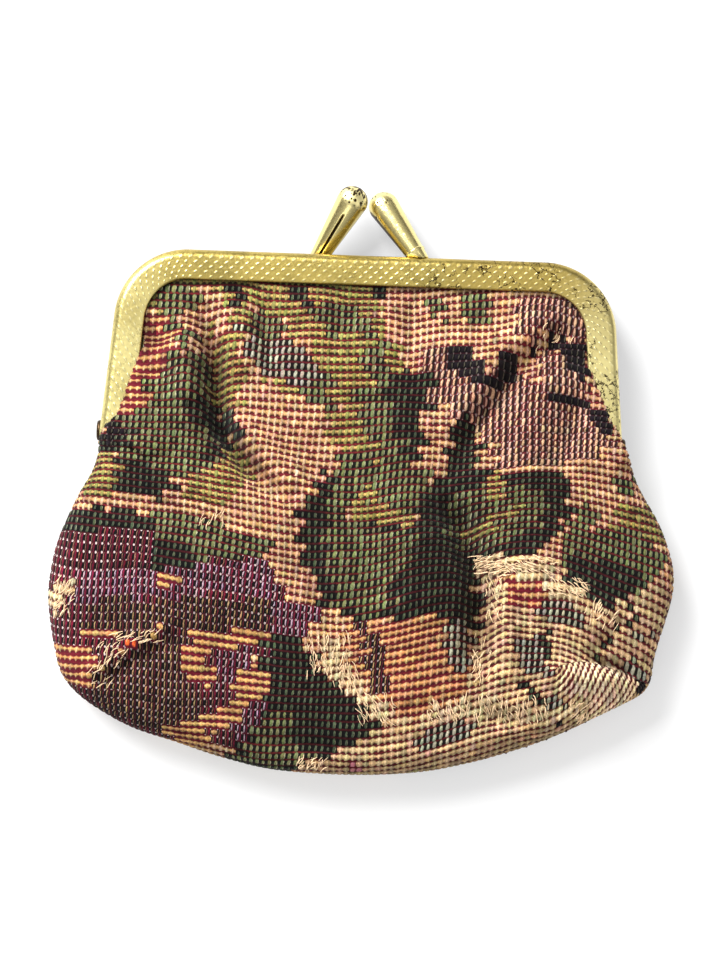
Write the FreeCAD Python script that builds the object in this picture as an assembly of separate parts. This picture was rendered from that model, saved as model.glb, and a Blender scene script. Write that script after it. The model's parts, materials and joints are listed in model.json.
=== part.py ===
"""Kiss-lock coin purse: two hinged U-channel frame halves, a pair of snap knobs and a lined tapestry pouch.

The purse lies on its back. +X runs across it, +Y from the pouch's bottom to the snap knobs, +Z from the
back panel to the front panel. The working frame puts Y = 0 on the hinge axis; export() moves every solid by
SHIFT_Y, so that the part's origin is the middle of its footprint on the surface that it lies on.
Lengths are in millimetres and angles in degrees.
"""

import math
import os

import FreeCAD
import Part
from FreeCAD import Vector

# ---- Driving dimensions ------------------------------------------------------------------------------------

# Frame outline, seen from the front
HINGE_HALF_WIDTH = 42.6      # outer face of the arms at the hinge axis
FRAME_TOP = 30.0             # top of the bar above the hinge axis
ARM_LEAN = 5.0               # arms splay out towards the hinge
CORNER_RADIUS = 12.0         # outer corner
INNER_RADIUS = 6.5           # corner of the inner edge
ARM_FACE = 5.0               # visible width of an arm
BAR_FACE = 4.9               # visible width of the top bar
LIP_WIDTH = 4.2              # flange of each half that faces the other half
FLANGE_END = 3.2             # both flanges stop this far above the hinge axis

# Frame section
SHEET = 0.5                  # thickness of the brass-plated sheet
HALF_DEPTH = 3.9             # depth of one half
HALF_GAP = 0.2               # gap between the closed halves
EDGE_RADIUS = 1.3            # rounded outer edge of each face
HINGE_Z = 5.0                # hinge axis above the surface the purse lies on
EAR_RADIUS = 2.6
EAR_GAP = 0.08               # between the outer ear, the inner ear and the rivet's heads

# Hinge rivets
RIVET_RADIUS = 0.9
RIVET_CLEARANCE = 0.04
RIVET_HEAD_RADIUS = 1.7
RIVET_TAIL_RADIUS = 1.4
RIVET_HEAD = 0.55

# Snap knobs: the back half's is on the left (-1) and the front half's on the right (1)
KNOB_BASE_X = {-1: 7.9, 1: 8.3}                        # foot, from the middle
KNOB_TIP = {-1: (2.85, 38.85), 1: (2.4, 38.3)}         # centre of the round end: from the middle, and Y
KNOB_TIP_RADIUS = {-1: 2.55, 1: 2.5}
KNOB_FOOT_INSET = 1.85       # knob foot, from its half's inner flange face
KNOB_CROSSING = 1.3          # each round end passes this far over the closing plane
KNOB_FOOT_RADIUS = 1.5
KNOB_WALL = 0.4
KNOB_FLOOR = 0.6
KNOB_SLIT = 0.3              # open seam of the rolled sheet
STUD_RADIUS = 0.65
STUD_HEAD_RADIUS = 0.8
STUD_TAIL_RADIUS = 1.0
STUD_HEAD = 0.35

# Cloth
CLOTH = 1.0                  # tapestry
LINING = 0.3
PLY_GAP = 0.12
FILLER_RADIUS = 0.55         # paper cord that wedges the cloth in the channel
FILLER_INSET = 1.5           # cord's centre, from the outer face of the frame
CLOTH_INSET = 2.2            # edge of the cloth in the channel, from the outer face of the frame
MOUTH_END = 0.8              # lower end of the cloth that moves with the front half
POUCH_START = -5.5           # upper end of the cloth that stays with the pouch
FOLD_GAP = 0.2

# Pouch outline: half width and height of the side edge, and height of the middle line, row by row
BOTTOM_MIDDLE = -54.5
BOTTOM_CORNER = (47.0, -40.0)
BOTTOM_POWER = 2.35          # fullness of the bottom edge
SIDE_ROWS = [                # (half width, y at the edge, y in the middle)
    (43.0, -5.5, -5.5),
    (45.9, -10.0, -11.5),
    (48.4, -16.0, -19.0),
    (50.2, -22.0, -27.0),
    (50.1, -28.0, -35.0),
    (49.0, -34.0, -42.5),
    (48.0, -37.6, -49.5),
    (47.3, -39.4, -53.2),
    (BOTTOM_CORNER[0], BOTTOM_CORNER[1], BOTTOM_MIDDLE),
]
FRONT_SWELL = [3.7, 5.6, 6.9, 7.3, 7.1, 6.3, 4.2, 1.9, 0.0]   # height of each row over the seam
BACK_SWELL = [3.0, 4.1, 4.2, 4.2, 4.2, 4.1, 3.4, 1.7, 0.0]    # the same, below the seam
SEAM_GAP = 0.1
WINDOW_GAP = 0.4             # from the frame's inner edge to where the back cloth starts to belly out
WINDOW_SLOPE = 7.0           # width of that slope
WINDOW_SINK = 1.9            # its depth, before the cloth is pressed flat against the table
LINING_INSET = 2.0           # edge of the lining, from the edge of the tapestry
LINING_GAP = 0.15            # lining and tapestry part a little in the pouch
STITCH_RADIUS = 0.22
STITCH_COUNT = 46

# ---- Values worked out from them ---------------------------------------------------------------------------

LEAN = math.radians(ARM_LEAN)
LEAN_SLOPE = math.tan(LEAN)
CORNER_Y = FRAME_TOP - CORNER_RADIUS
CORNER_X = (
    HINGE_HALF_WIDTH
    - CORNER_RADIUS * math.cos(LEAN)
    - (CORNER_Y + CORNER_RADIUS * math.sin(LEAN)) * LEAN_SLOPE
)
KNOB_TOP = KNOB_TIP[-1][1] + KNOB_TIP_RADIUS[-1]
SHIFT_Y = -(KNOB_TOP + BOTTOM_MIDDLE) / 2
FRONT_Z0 = HINGE_Z + HALF_GAP / 2              # inner flange face of the front half
FRONT_Z1 = FRONT_Z0 + HALF_DEPTH
FRONT_CLOTH = FRONT_Z1 - SHEET - PLY_GAP - CLOTH
FRONT_LINING = FRONT_CLOTH - PLY_GAP - LINING
OUTER_EAR_X = HINGE_HALF_WIDTH - SHEET
INNER_EAR_X = OUTER_EAR_X - EAR_GAP - SHEET

X_AXIS = Vector(1, 0, 0)
Y_AXIS = Vector(0, 1, 0)
Z_AXIS = Vector(0, 0, 1)


def arm_x(y, inset=0.0):
    """Outer face of the right arm at height y, moved inwards by inset."""
    return HINGE_HALF_WIDTH - y * LEAN_SLOPE - inset / math.cos(LEAN)


def box(x0, x1, y0, y1, z0, z1):
    return Part.makeBox(x1 - x0, y1 - y0, z1 - z0, Vector(x0, y0, z0))


def mirror_x(shape):
    return shape.mirror(Vector(0, 0, 0), X_AXIS)


def flip_to_back(shape):
    """The same shape on the back half: mirrored in the closing plane."""
    return shape.mirror(Vector(0, 0, HINGE_Z), Z_AXIS)


def cylinder_x(radius, x0, x1):
    """A cylinder on the hinge axis."""
    return Part.makeCylinder(radius, x1 - x0, Vector(x0, 0, HINGE_Z), X_AXIS)


# ---- Frame halves ------------------------------------------------------------------------------------------


def arch_wire(inset_arm, inset_bar, radius, y0):
    """Closed wire of the arch, inset from its outer outline, with round corners and a straight foot at y0."""
    top = FRAME_TOP - inset_bar
    centre_y = top - radius
    touch_y = centre_y + radius * math.sin(LEAN)
    touch_x = arm_x(touch_y, inset_arm)
    centre_x = touch_x - radius * math.cos(LEAN)
    middle = math.radians(45 + ARM_LEAN / 2)
    corner_mid = (centre_x + radius * math.cos(middle), centre_y + radius * math.sin(middle))
    foot_x = arm_x(y0, inset_arm)

    def point(x, y):
        return Vector(x, y, 0)

    edges = [
        Part.LineSegment(point(-foot_x, y0), point(foot_x, y0)),
        Part.LineSegment(point(foot_x, y0), point(touch_x, touch_y)),
        Part.Arc(point(touch_x, touch_y), point(*corner_mid), point(centre_x, top)),
        Part.LineSegment(point(centre_x, top), point(-centre_x, top)),
        Part.Arc(
            point(-centre_x, top),
            point(-corner_mid[0], corner_mid[1]),
            point(-touch_x, touch_y),
        ),
        Part.LineSegment(point(-touch_x, touch_y), point(-foot_x, y0)),
    ]
    return Part.Wire([edge.toShape() for edge in edges])


def arch_plate(inset_arm, inset_bar, radius, y0, z0, z1):
    """The filled arch, from z0 to z1."""
    plate = Part.Face(arch_wire(inset_arm, inset_bar, radius, y0)).extrude(Vector(0, 0, z1 - z0))
    plate.translate(Vector(0, 0, z0))
    return plate


def ear(x0, reach):
    """A hinge ear on the right arm: a sheet disc on the hinge axis with a tongue reaching up the arm."""
    disc = cylinder_x(EAR_RADIUS, x0, x0 + SHEET)
    tongue = box(x0, x0 + SHEET, 0, reach, FRONT_Z0, HINGE_Z + EAR_RADIUS)
    bore = cylinder_x(RIVET_RADIUS + RIVET_CLEARANCE, x0 - 1, x0 + SHEET + 1)
    return disc.fuse(tongue).cut(bore)


def channel():
    """The front half's U-channel, open towards the middle of the arch, without its ears."""
    body = arch_plate(0, 0, CORNER_RADIUS, FLANGE_END, FRONT_Z0, FRONT_Z1)
    rim = [edge for edge in body.Edges if is_face_rim(edge)]
    body = body.makeFillet(EDGE_RADIUS, rim)
    hollow = arch_plate(
        SHEET, SHEET, CORNER_RADIUS - SHEET, FLANGE_END - 1, FRONT_Z0 + SHEET, FRONT_Z1 - SHEET
    )
    hollow_rim = [edge for edge in hollow.Edges if is_hollow_rim(edge)]
    hollow = hollow.makeFillet(EDGE_RADIUS - SHEET, hollow_rim)
    window = arch_plate(ARM_FACE, BAR_FACE, INNER_RADIUS, FLANGE_END - 1, HINGE_Z, FRONT_Z1 + 1)
    lip_window = arch_plate(
        LIP_WIDTH, LIP_WIDTH, INNER_RADIUS, FLANGE_END - 1, HINGE_Z, FRONT_Z0 + SHEET + 0.5
    )
    return body.cut(hollow).cut(window).cut(lip_window)


def is_face_rim(edge):
    """An outer edge of the visible face, but not the straight one across the arch's foot."""
    box_ = edge.BoundBox
    flat_at_face = abs(box_.ZMin - FRONT_Z1) < 1e-4 and abs(box_.ZMax - FRONT_Z1) < 1e-4
    return flat_at_face and not abs(box_.YMax - FLANGE_END) < 1e-4


def is_hollow_rim(edge):
    box_ = edge.BoundBox
    face = FRONT_Z1 - SHEET
    flat_at_face = abs(box_.ZMin - face) < 1e-4 and abs(box_.ZMax - face) < 1e-4
    return flat_at_face and not abs(box_.YMax - (FLANGE_END - 1)) < 1e-4


def stud_hole(x):
    """The hole in the top bar that a knob's stud passes through, on the front half."""
    foot = Vector(x, FRAME_TOP - 1.5, FRONT_Z0 + KNOB_FOOT_INSET)
    return Part.makeCylinder(STUD_RADIUS + 0.02, 3, foot, Y_AXIS)


def web_tail():
    """The arm's side wall between the flanges' ends and the ear, on the right arm of the front half."""
    return box(OUTER_EAR_X, HINGE_HALF_WIDTH, 0.3, FLANGE_END + 4, FRONT_Z0, FRONT_Z1 - EDGE_RADIUS)


def front_frame():
    clear_of_inner_ear = box(
        INNER_EAR_X - EAR_GAP, OUTER_EAR_X, -5, FLANGE_END, FRONT_Z0 - 1, FRONT_Z1 + 1
    )
    side = ear(OUTER_EAR_X, FLANGE_END + 4).fuse(web_tail())
    bore = cylinder_x(RIVET_RADIUS + RIVET_CLEARANCE, OUTER_EAR_X - 1, HINGE_HALF_WIDTH + 1)
    side = side.cut(clear_of_inner_ear).cut(bore)
    frame = channel().fuse([side, mirror_x(side)]).cut(stud_hole(KNOB_BASE_X[1]))
    return frame.removeSplitter()


def back_frame():
    """The back half: its ears sit inside the front half's ears and join the channel above them."""
    ears = ear(INNER_EAR_X, FLANGE_END + 6)
    bridge = box(
        INNER_EAR_X, HINGE_HALF_WIDTH - 0.3, FLANGE_END + 0.2, FLANGE_END + 6, FRONT_Z0, HINGE_Z + EAR_RADIUS
    )
    side = ears.fuse(bridge)
    half = channel().fuse([side, mirror_x(side)]).cut(stud_hole(-KNOB_BASE_X[-1]))
    return flip_to_back(half.removeSplitter())


def hinge_rivet():
    """The right rivet: a shank through both ears with a head outside and a peened tail inside."""
    tail_x = INNER_EAR_X - EAR_GAP - RIVET_HEAD
    head_x = HINGE_HALF_WIDTH + EAR_GAP
    shank = cylinder_x(RIVET_RADIUS, tail_x, head_x + RIVET_HEAD)
    tail = cylinder_x(RIVET_TAIL_RADIUS, tail_x, tail_x + RIVET_HEAD)
    head = cylinder_x(RIVET_HEAD_RADIUS, head_x, head_x + RIVET_HEAD)
    rim = [e for e in head.Edges if abs(e.BoundBox.XMin - head_x - RIVET_HEAD) < 1e-4]
    head = head.makeFillet(RIVET_HEAD * 0.8, [e for e in rim if e.BoundBox.XLength < 1e-4])
    return shank.fuse([tail, head]).removeSplitter()


# ---- Snap knobs --------------------------------------------------------------------------------------------


def knob_line(side):
    """Foot and centre of the round end of the knob on one side: -1 for the back half's, 1 for the front's."""
    foot_z = HINGE_Z + side * (HALF_GAP / 2 + KNOB_FOOT_INSET)
    foot = Vector(side * KNOB_BASE_X[side], FRAME_TOP, foot_z)
    tip_x, tip_y = KNOB_TIP[side]
    tip = Vector(side * tip_x, tip_y, HINGE_Z - side * KNOB_CROSSING)
    return foot, tip


def tapered_pin(foot, tip, foot_radius, tip_radius):
    """A cone from foot to tip with a ball end, running a little past the foot."""
    along = tip - foot
    length = along.Length
    along.normalize()
    start = foot - along * 1.5
    cone = Part.makeCone(foot_radius, tip_radius, length + 1.5, start, along)
    ball = Part.makeSphere(tip_radius, tip)
    return cone.fuse(ball)


def knob(side):
    """A hollow rolled cone, cut flat where it stands on the bar and open along its seam."""
    foot, tip = knob_line(side)
    above_bar = box(-20, 20, FRAME_TOP + 0.03, 60, -20, 30)
    above_floor = box(-20, 20, FRAME_TOP + KNOB_FLOOR, 60, -20, 30)
    tip_radius = KNOB_TIP_RADIUS[side]
    outer = tapered_pin(foot, tip, KNOB_FOOT_RADIUS, tip_radius).common(above_bar)
    inner = tapered_pin(foot, tip, KNOB_FOOT_RADIUS - KNOB_WALL, tip_radius - KNOB_WALL)
    hole = Part.makeCylinder(STUD_RADIUS + 0.02, 3, Vector(foot.x, FRAME_TOP - 1, foot.z), Y_AXIS)
    shell = outer.cut(inner.common(above_floor)).cut(hole)
    return shell.cut(knob_slit(foot, tip, side))


def knob_slit(foot, tip, side):
    """The seam of the rolled sheet: a thin slot along the cone, on the other half's side of it."""
    start = foot + (tip - foot) * 0.16
    end = foot + (tip - foot) * 0.80
    along = end - start
    reach = 4
    slot = Part.makeBox(KNOB_SLIT, along.Length, reach)
    slot.translate(Vector(-KNOB_SLIT / 2, 0, 0 if side < 0 else -reach))
    slot.Placement = FreeCAD.Placement(start, FreeCAD.Rotation(Y_AXIS, along)).multiply(slot.Placement)
    return slot


def stud(side):
    """The rivet that holds a knob: head inside the cone, shank through the bar, tail in the channel."""
    foot, _ = knob_line(side)
    floor_top = FRAME_TOP + KNOB_FLOOR + 0.03
    tail_y = FRAME_TOP - SHEET - 0.03 - STUD_HEAD

    def disc(radius, y0, y1):
        return Part.makeCylinder(radius, y1 - y0, Vector(foot.x, y0, foot.z), Y_AXIS)

    shank = disc(STUD_RADIUS, tail_y, floor_top + STUD_HEAD)
    head = disc(STUD_HEAD_RADIUS, floor_top, floor_top + STUD_HEAD)
    tail = disc(STUD_TAIL_RADIUS, tail_y, tail_y + STUD_HEAD)
    return shank.fuse([head, tail]).removeSplitter()


# ---- Filler cords ------------------------------------------------------------------------------------------


def filler_cord():
    """The front half's paper cord, laid along the channel against its inner flange."""
    z = FRONT_Z0 + SHEET + 0.05 + FILLER_RADIUS
    radius = CORNER_RADIUS - FILLER_INSET
    path = arch_wire(FILLER_INSET, FILLER_INSET, radius, FLANGE_END + 4)
    open_path = Part.Wire([e for e in path.Edges if e.BoundBox.YMax > FLANGE_END + 4.01])
    open_path.translate(Vector(0, 0, z))
    start = Vector(-arm_x(FLANGE_END + 4, FILLER_INSET), FLANGE_END + 4, z)
    along = Vector(LEAN_SLOPE, 1, 0)
    section = Part.Wire([Part.Circle(start, along, FILLER_RADIUS).toShape()])
    return open_path.makePipeShell([section], True, False)


# ---- Cloth -------------------------------------------------------------------------------------------------


def row_point(row, share, swell, seam_z, sense):
    """A point on a pouch row: share runs from -1 to 1 across it, and sense is 1 for front and -1 for back."""
    half_width, edge_y, middle_y = row
    power = BOTTOM_POWER
    y = middle_y + (edge_y - middle_y) * abs(share) ** power
    rise = swell * (1 - abs(share) ** 4) ** 0.8
    return Vector(half_width * share, y, seam_z + sense * rise)


def across(count):
    """Shares from -1 to 1, closer together towards the edges."""
    return [math.sin(math.pi / 2 * (2 * i / (count - 1) - 1)) for i in range(count)]


def sheet_solid(grid, thickness):
    """A smooth sheet through a grid of points, thickened straight up."""
    surface = Part.BSplineSurface()
    surface.interpolate(grid)
    return surface.toShape().extrude(Vector(0, 0, thickness))


def pouch_front(thickness, drop, inset, rows, swells):
    """A front ply of the pouch, with its lower face drop below the tapestry's lower face."""
    seam_z = HINGE_Z + SEAM_GAP / 2 - drop
    grid = []
    for row, swell in zip(rows, swells):
        reach = 1 - inset / row[0]
        grid.append([row_point(row, share * reach, swell, seam_z, 1) for share in across(15)])
    return sheet_solid(grid, thickness)


def front_panel():
    return pouch_front(CLOTH, 0, 0, SIDE_ROWS, FRONT_SWELL)


def front_lining():
    drop = PLY_GAP + LINING + LINING_GAP
    ply = pouch_front(LINING, drop, LINING_INSET, SIDE_ROWS[:-1], FRONT_SWELL[:-1])
    above_seam = box(-70, 70, -70, 50, HINGE_Z + 0.03, 30)
    return ply.common(above_seam)


def mouth_plate(z, thickness):
    """A ply held in the front half's channel."""
    radius = CORNER_RADIUS - CLOTH_INSET
    return arch_plate(CLOTH_INSET, CLOTH_INSET, radius, MOUTH_END, z, z + thickness)


def front_panel_fold():
    """The strip of tapestry that bends as the front half swings open."""
    half_width, _, _ = SIDE_ROWS[0]
    y_top = MOUTH_END - FOLD_GAP
    y_low = POUCH_START + FOLD_GAP
    top_z = FRONT_CLOTH
    seam_z = HINGE_Z + SEAM_GAP / 2
    narrow = arm_x(0, CLOTH_INSET)
    rows = []
    for step in range(5):
        share_down = step / 4
        ease = share_down * share_down
        y = y_top + (y_low - y_top) * share_down
        width = narrow + (half_width - narrow) * ease
        points = []
        for share in across(15):
            low = row_point(SIDE_ROWS[0], share, FRONT_SWELL[0], seam_z, 1)
            points.append(Vector(width * share, y, top_z + (low.z - top_z) * ease))
        rows.append(points)
    return sheet_solid(rows, CLOTH)


def window_depth(x, y):
    """How far a point lies inside the frame's inner edge; negative outside it."""
    side = (arm_x(y, ARM_FACE) - abs(x)) * math.cos(LEAN)
    top = FRAME_TOP - BAR_FACE - y
    if side < INNER_RADIUS and top < INNER_RADIUS:
        return INNER_RADIUS - math.hypot(INNER_RADIUS - side, INNER_RADIUS - top)
    return min(side, top)


def back_sink(x, y):
    """How far the back cloth bellies out through the frame at a point."""
    share = (window_depth(x, y) - WINDOW_GAP) / WINDOW_SLOPE
    share = min(max(share, 0), 1)
    return WINDOW_SINK * share * share * (3 - 2 * share)


def back_sheet(thickness, lift, inset):
    """A back ply: flat in the channel, swelling down to the surface that the purse lies on."""
    channel_z = 2 * HINGE_Z - FRONT_CLOTH - CLOTH
    seam_z = HINGE_Z - SEAM_GAP / 2 - CLOTH
    across_shares = [i / 20 - 1 for i in range(41)]
    grid = []
    for step in range(18):
        y = 29.5 - 1.7 * step
        half_width = arm_x(y, CLOTH_INSET) - inset
        row = [Vector(half_width * share, y, 0) for share in across_shares]
        grid.append([Vector(p.x, p.y, channel_z + lift - back_sink(p.x, p.y)) for p in row])
    neck = (40.6, -3.4, -3.4)
    rows = [(neck, 3.0, channel_z + 1.0)]
    rows += [(row, swell, seam_z) for row, swell in zip(SIDE_ROWS[1:], BACK_SWELL[1:])]
    if inset:
        rows.pop()
    for row, swell, edge_z in rows:
        reach = 1 - inset / row[0]
        grid.append([row_point(row, share * reach, swell, edge_z + lift, -1) for share in across_shares])
    return sheet_solid(grid, thickness).common(channel_trim(CLOTH_INSET + inset))


def channel_trim(inset):
    """Space that a back ply may fill: the arch inside the channel, and everything below it."""
    arch = arch_plate(inset, inset, CORNER_RADIUS - inset, FLANGE_END, -5, 20)
    return arch.fuse(box(-70, 70, -70, FLANGE_END, -5, 20))


def back_panel():
    above_table = box(-70, 70, -70, 50, 0, 30)
    return back_sheet(CLOTH, 0, 0).common(above_table)


def back_lining():
    between = box(-70, 70, -70, 50, CLOTH + PLY_GAP, HINGE_Z - 0.03)
    return back_sheet(LINING, CLOTH + PLY_GAP + LINING_GAP, LINING_INSET).common(between)


def seam_stitches():
    """Lock stitches that join the two panels round the pouch's side and bottom seam."""
    edge = [Vector(w, y, 0) for w, y, _ in SIDE_ROWS[1:]]
    bottom_x, bottom_y = BOTTOM_CORNER
    for step in range(1, 13):
        share = 1 - step / 12
        rise = (bottom_y - BOTTOM_MIDDLE) * share**BOTTOM_POWER
        edge.append(Vector(bottom_x * share, BOTTOM_MIDDLE + rise, 0))
    full = edge + [Vector(-p.x, p.y, 0) for p in reversed(edge[:-1])]
    seam = Part.BSplineCurve()
    seam.interpolate(full)
    first, last = seam.FirstParameter, seam.LastParameter
    length = seam.length(first, last)
    stitches = []
    for index in range(STITCH_COUNT):
        at = seam.parameterAtDistance(length * (index + 0.5) / STITCH_COUNT, first)
        point = seam.value(at)
        inwards = Vector(-point.x, -24 - point.y, 0).normalize()
        place = point + inwards * 0.9 + Vector(0, 0, HINGE_Z - 0.75)
        stitches.append(Part.makeCylinder(STITCH_RADIUS, 1.5, place, Z_AXIS))
    return Part.makeCompound(stitches)


# ---- The parts ---------------------------------------------------------------------------------------------

PARTS = {
    "front_frame": front_frame,
    "back_frame": back_frame,
    "right_hinge_rivet": hinge_rivet,
    "left_hinge_rivet": lambda: mirror_x(hinge_rivet()),
    "front_knob": lambda: knob(1),
    "back_knob": lambda: knob(-1),
    "front_knob_stud": lambda: stud(1),
    "back_knob_stud": lambda: stud(-1),
    "front_filler_cord": filler_cord,
    "back_filler_cord": lambda: flip_to_back(filler_cord()),
    "front_panel": front_panel,
    "front_panel_mouth": lambda: mouth_plate(FRONT_CLOTH, CLOTH),
    "front_panel_fold": front_panel_fold,
    "front_lining": front_lining,
    "front_lining_mouth": lambda: mouth_plate(FRONT_LINING, LINING),
    "back_panel": back_panel,
    "back_lining": back_lining,
    "seam_stitches": seam_stitches,
}


def export(name, shape):
    shape.translate(Vector(0, SHIFT_Y, 0))
    shape.exportStep(f"parts/{name}.step")
    box_ = shape.BoundBox
    print(
        f"{name:20s} solids {len(shape.Solids):2d} valid {shape.isValid()} volume {shape.Volume:8.1f} "
        f"x {box_.XMin:6.1f} {box_.XMax:6.1f} y {box_.YMin:6.1f} {box_.YMax:6.1f} "
        f"z {box_.ZMin:5.2f} {box_.ZMax:5.2f}"
    )


def main():
    os.makedirs("parts", exist_ok=True)
    for name, make in PARTS.items():
        export(name, make())
    print(f"hinge axis y {SHIFT_Y:.3f} z {HINGE_Z:.3f}")


main()
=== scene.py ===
"""Looks of a kiss-lock coin purse: woven tapestry pouch, embossed brass frame and snap knobs.

Shapes are worked out in millimetres, in a plane frame whose origin is the hinge axis: x runs to the right,
y towards the knobs and z up from the surface that the purse lies on. to_world() turns them into metres in
the CAD model's frame.
"""

import json
import math

import bpy
import numpy as np
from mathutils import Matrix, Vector


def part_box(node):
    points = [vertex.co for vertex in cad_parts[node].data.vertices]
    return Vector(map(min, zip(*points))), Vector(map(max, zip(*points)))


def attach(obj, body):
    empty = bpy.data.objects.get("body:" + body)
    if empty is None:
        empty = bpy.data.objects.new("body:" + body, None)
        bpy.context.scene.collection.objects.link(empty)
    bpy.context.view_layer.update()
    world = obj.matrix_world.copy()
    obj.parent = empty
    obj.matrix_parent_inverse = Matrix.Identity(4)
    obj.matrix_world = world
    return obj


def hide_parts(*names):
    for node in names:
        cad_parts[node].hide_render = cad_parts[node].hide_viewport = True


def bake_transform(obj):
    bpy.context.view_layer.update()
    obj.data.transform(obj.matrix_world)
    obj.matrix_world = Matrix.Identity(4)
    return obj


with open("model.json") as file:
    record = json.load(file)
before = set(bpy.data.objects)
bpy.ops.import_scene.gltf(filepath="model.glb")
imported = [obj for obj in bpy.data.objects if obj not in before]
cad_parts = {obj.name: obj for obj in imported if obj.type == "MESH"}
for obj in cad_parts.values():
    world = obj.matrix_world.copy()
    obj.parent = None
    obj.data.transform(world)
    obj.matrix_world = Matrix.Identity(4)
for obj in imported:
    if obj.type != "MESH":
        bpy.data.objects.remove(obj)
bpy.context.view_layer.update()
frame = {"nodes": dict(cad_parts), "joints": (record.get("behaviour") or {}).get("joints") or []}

ROOT = "pouch_and_back_frame"
FRONT = "front_half"
MM = 0.001
JOINT = frame["joints"][0]
HINGE_Y = JOINT["pos_m"][1] / MM
HINGE_Z = JOINT["pos_m"][2] / MM
FRAME_BOX = [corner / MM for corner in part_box("front_frame")]
FACE_Z = FRAME_BOX[1].z
FRAME_TOP = FRAME_BOX[1].y - HINGE_Y
HINGE_HALF_WIDTH = FRAME_BOX[1].x

random = np.random.default_rng(11)


# ---- Small helpers -------------------------------------------------------------------------------


def to_world(points):
    """Millimetres from the hinge to metres in the CAD frame."""
    return (np.asarray(points, float) + [0, HINGE_Y, 0]) * MM


def smoothstep(low, high, value):
    share = np.clip((value - low) / (high - low), 0, 1)
    return share * share * (3 - 2 * share)


def mix(a, b, share):
    return a + (b - a) * share


def srgb(red, green, blue):
    """A colour named in 0 to 255 display values, as linear RGBA."""
    channels = [c / 255 for c in (red, green, blue)]
    linear = [c / 12.92 if c <= 0.04045 else ((c + 0.055) / 1.055) ** 2.4 for c in channels]
    return (*linear, 1.0)


def add_object(name, data):
    """A new object in the scene."""
    thing = bpy.data.objects.new(name, data)
    bpy.context.scene.collection.objects.link(thing)
    return thing


def new_mesh(name, points, faces):
    """A smooth mesh object made from points in hinge millimetres."""
    mesh = bpy.data.meshes.new(name)
    mesh.from_pydata(to_world(points).tolist(), [], faces)
    mesh.polygons.foreach_set("use_smooth", [True] * len(mesh.polygons))
    mesh.update()
    return add_object(name, mesh)


def quads_between(index):
    """Quads of a grid of point numbers."""
    return np.stack([index[:-1, :-1], index[:-1, 1:], index[1:, 1:], index[1:, :-1]], -1)


def grid_mesh(name, grid, keep, up):
    """A mesh from a rows x columns x 3 array, with only the quads where keep is true, facing up or down."""
    rows, columns = grid.shape[:2]
    index = np.arange(rows * columns).reshape(rows, columns)
    used, compact = np.unique(quads_between(index)[keep], return_inverse=True)
    piece = new_mesh(name, grid.reshape(-1, 3)[used], compact.reshape(-1, 4).tolist())
    if up < 0:
        piece.data.flip_normals()
    return piece


def tube_quads(rings, around):
    """Quads of an open tube whose points are stored ring after ring."""
    index = np.arange(rings * around).reshape(rings, around)
    return quads_between(np.concatenate([index, index[:, :1]], 1)).reshape(-1, 4)


def closed_tube(rings, around):
    """Faces of a tube with a cap on each end."""
    last = (rings - 1) * around
    caps = [list(range(around))[::-1], list(range(last, last + around))]
    return tube_quads(rings, around).tolist() + caps


def flipped(faces):
    return [face[::-1] for face in faces]


def write_colour(piece, name, domain, rgba):
    attribute = piece.data.attributes.new(name, "FLOAT_COLOR", domain)
    attribute.data.foreach_set("color", rgba.astype(np.float32).ravel())


def write_grey(piece, name, values):
    """Writes one value a point as a grey colour attribute."""
    rgba = np.repeat(np.asarray(values, float)[:, None], 4, 1)
    rgba[:, 3] = 1
    write_colour(piece, name, "POINT", rgba)


# ---- Frame outline -------------------------------------------------------------------------------

LEAN = math.radians(5.0)
CORNER_RADIUS = 12.0
ARM_FACE = 5.0
BAR_FACE = 4.9
SHEET = 0.5
HALF_GAP = 0.1
FACE_EDGE_RADIUS = 1.3
ARM_END = 0.2
EAR_RADIUS = 2.6
EAR_TOP = 7.0
EAR_STEPS = 24
EAR_GAP = 0.08
EAR_PROUD = 0.02
EAR_IN_FLANGE = 0.15
EAR_OUTSIDE = {1: HINGE_HALF_WIDTH + EAR_PROUD, -1: HINGE_HALF_WIDTH - SHEET - EAR_GAP}


def arm_x(y, inset=0.0):
    """Half width of the frame at height y on its leaning arms, moved inwards by inset."""
    return HINGE_HALF_WIDTH - y * math.tan(LEAN) - inset / math.cos(LEAN)


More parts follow.
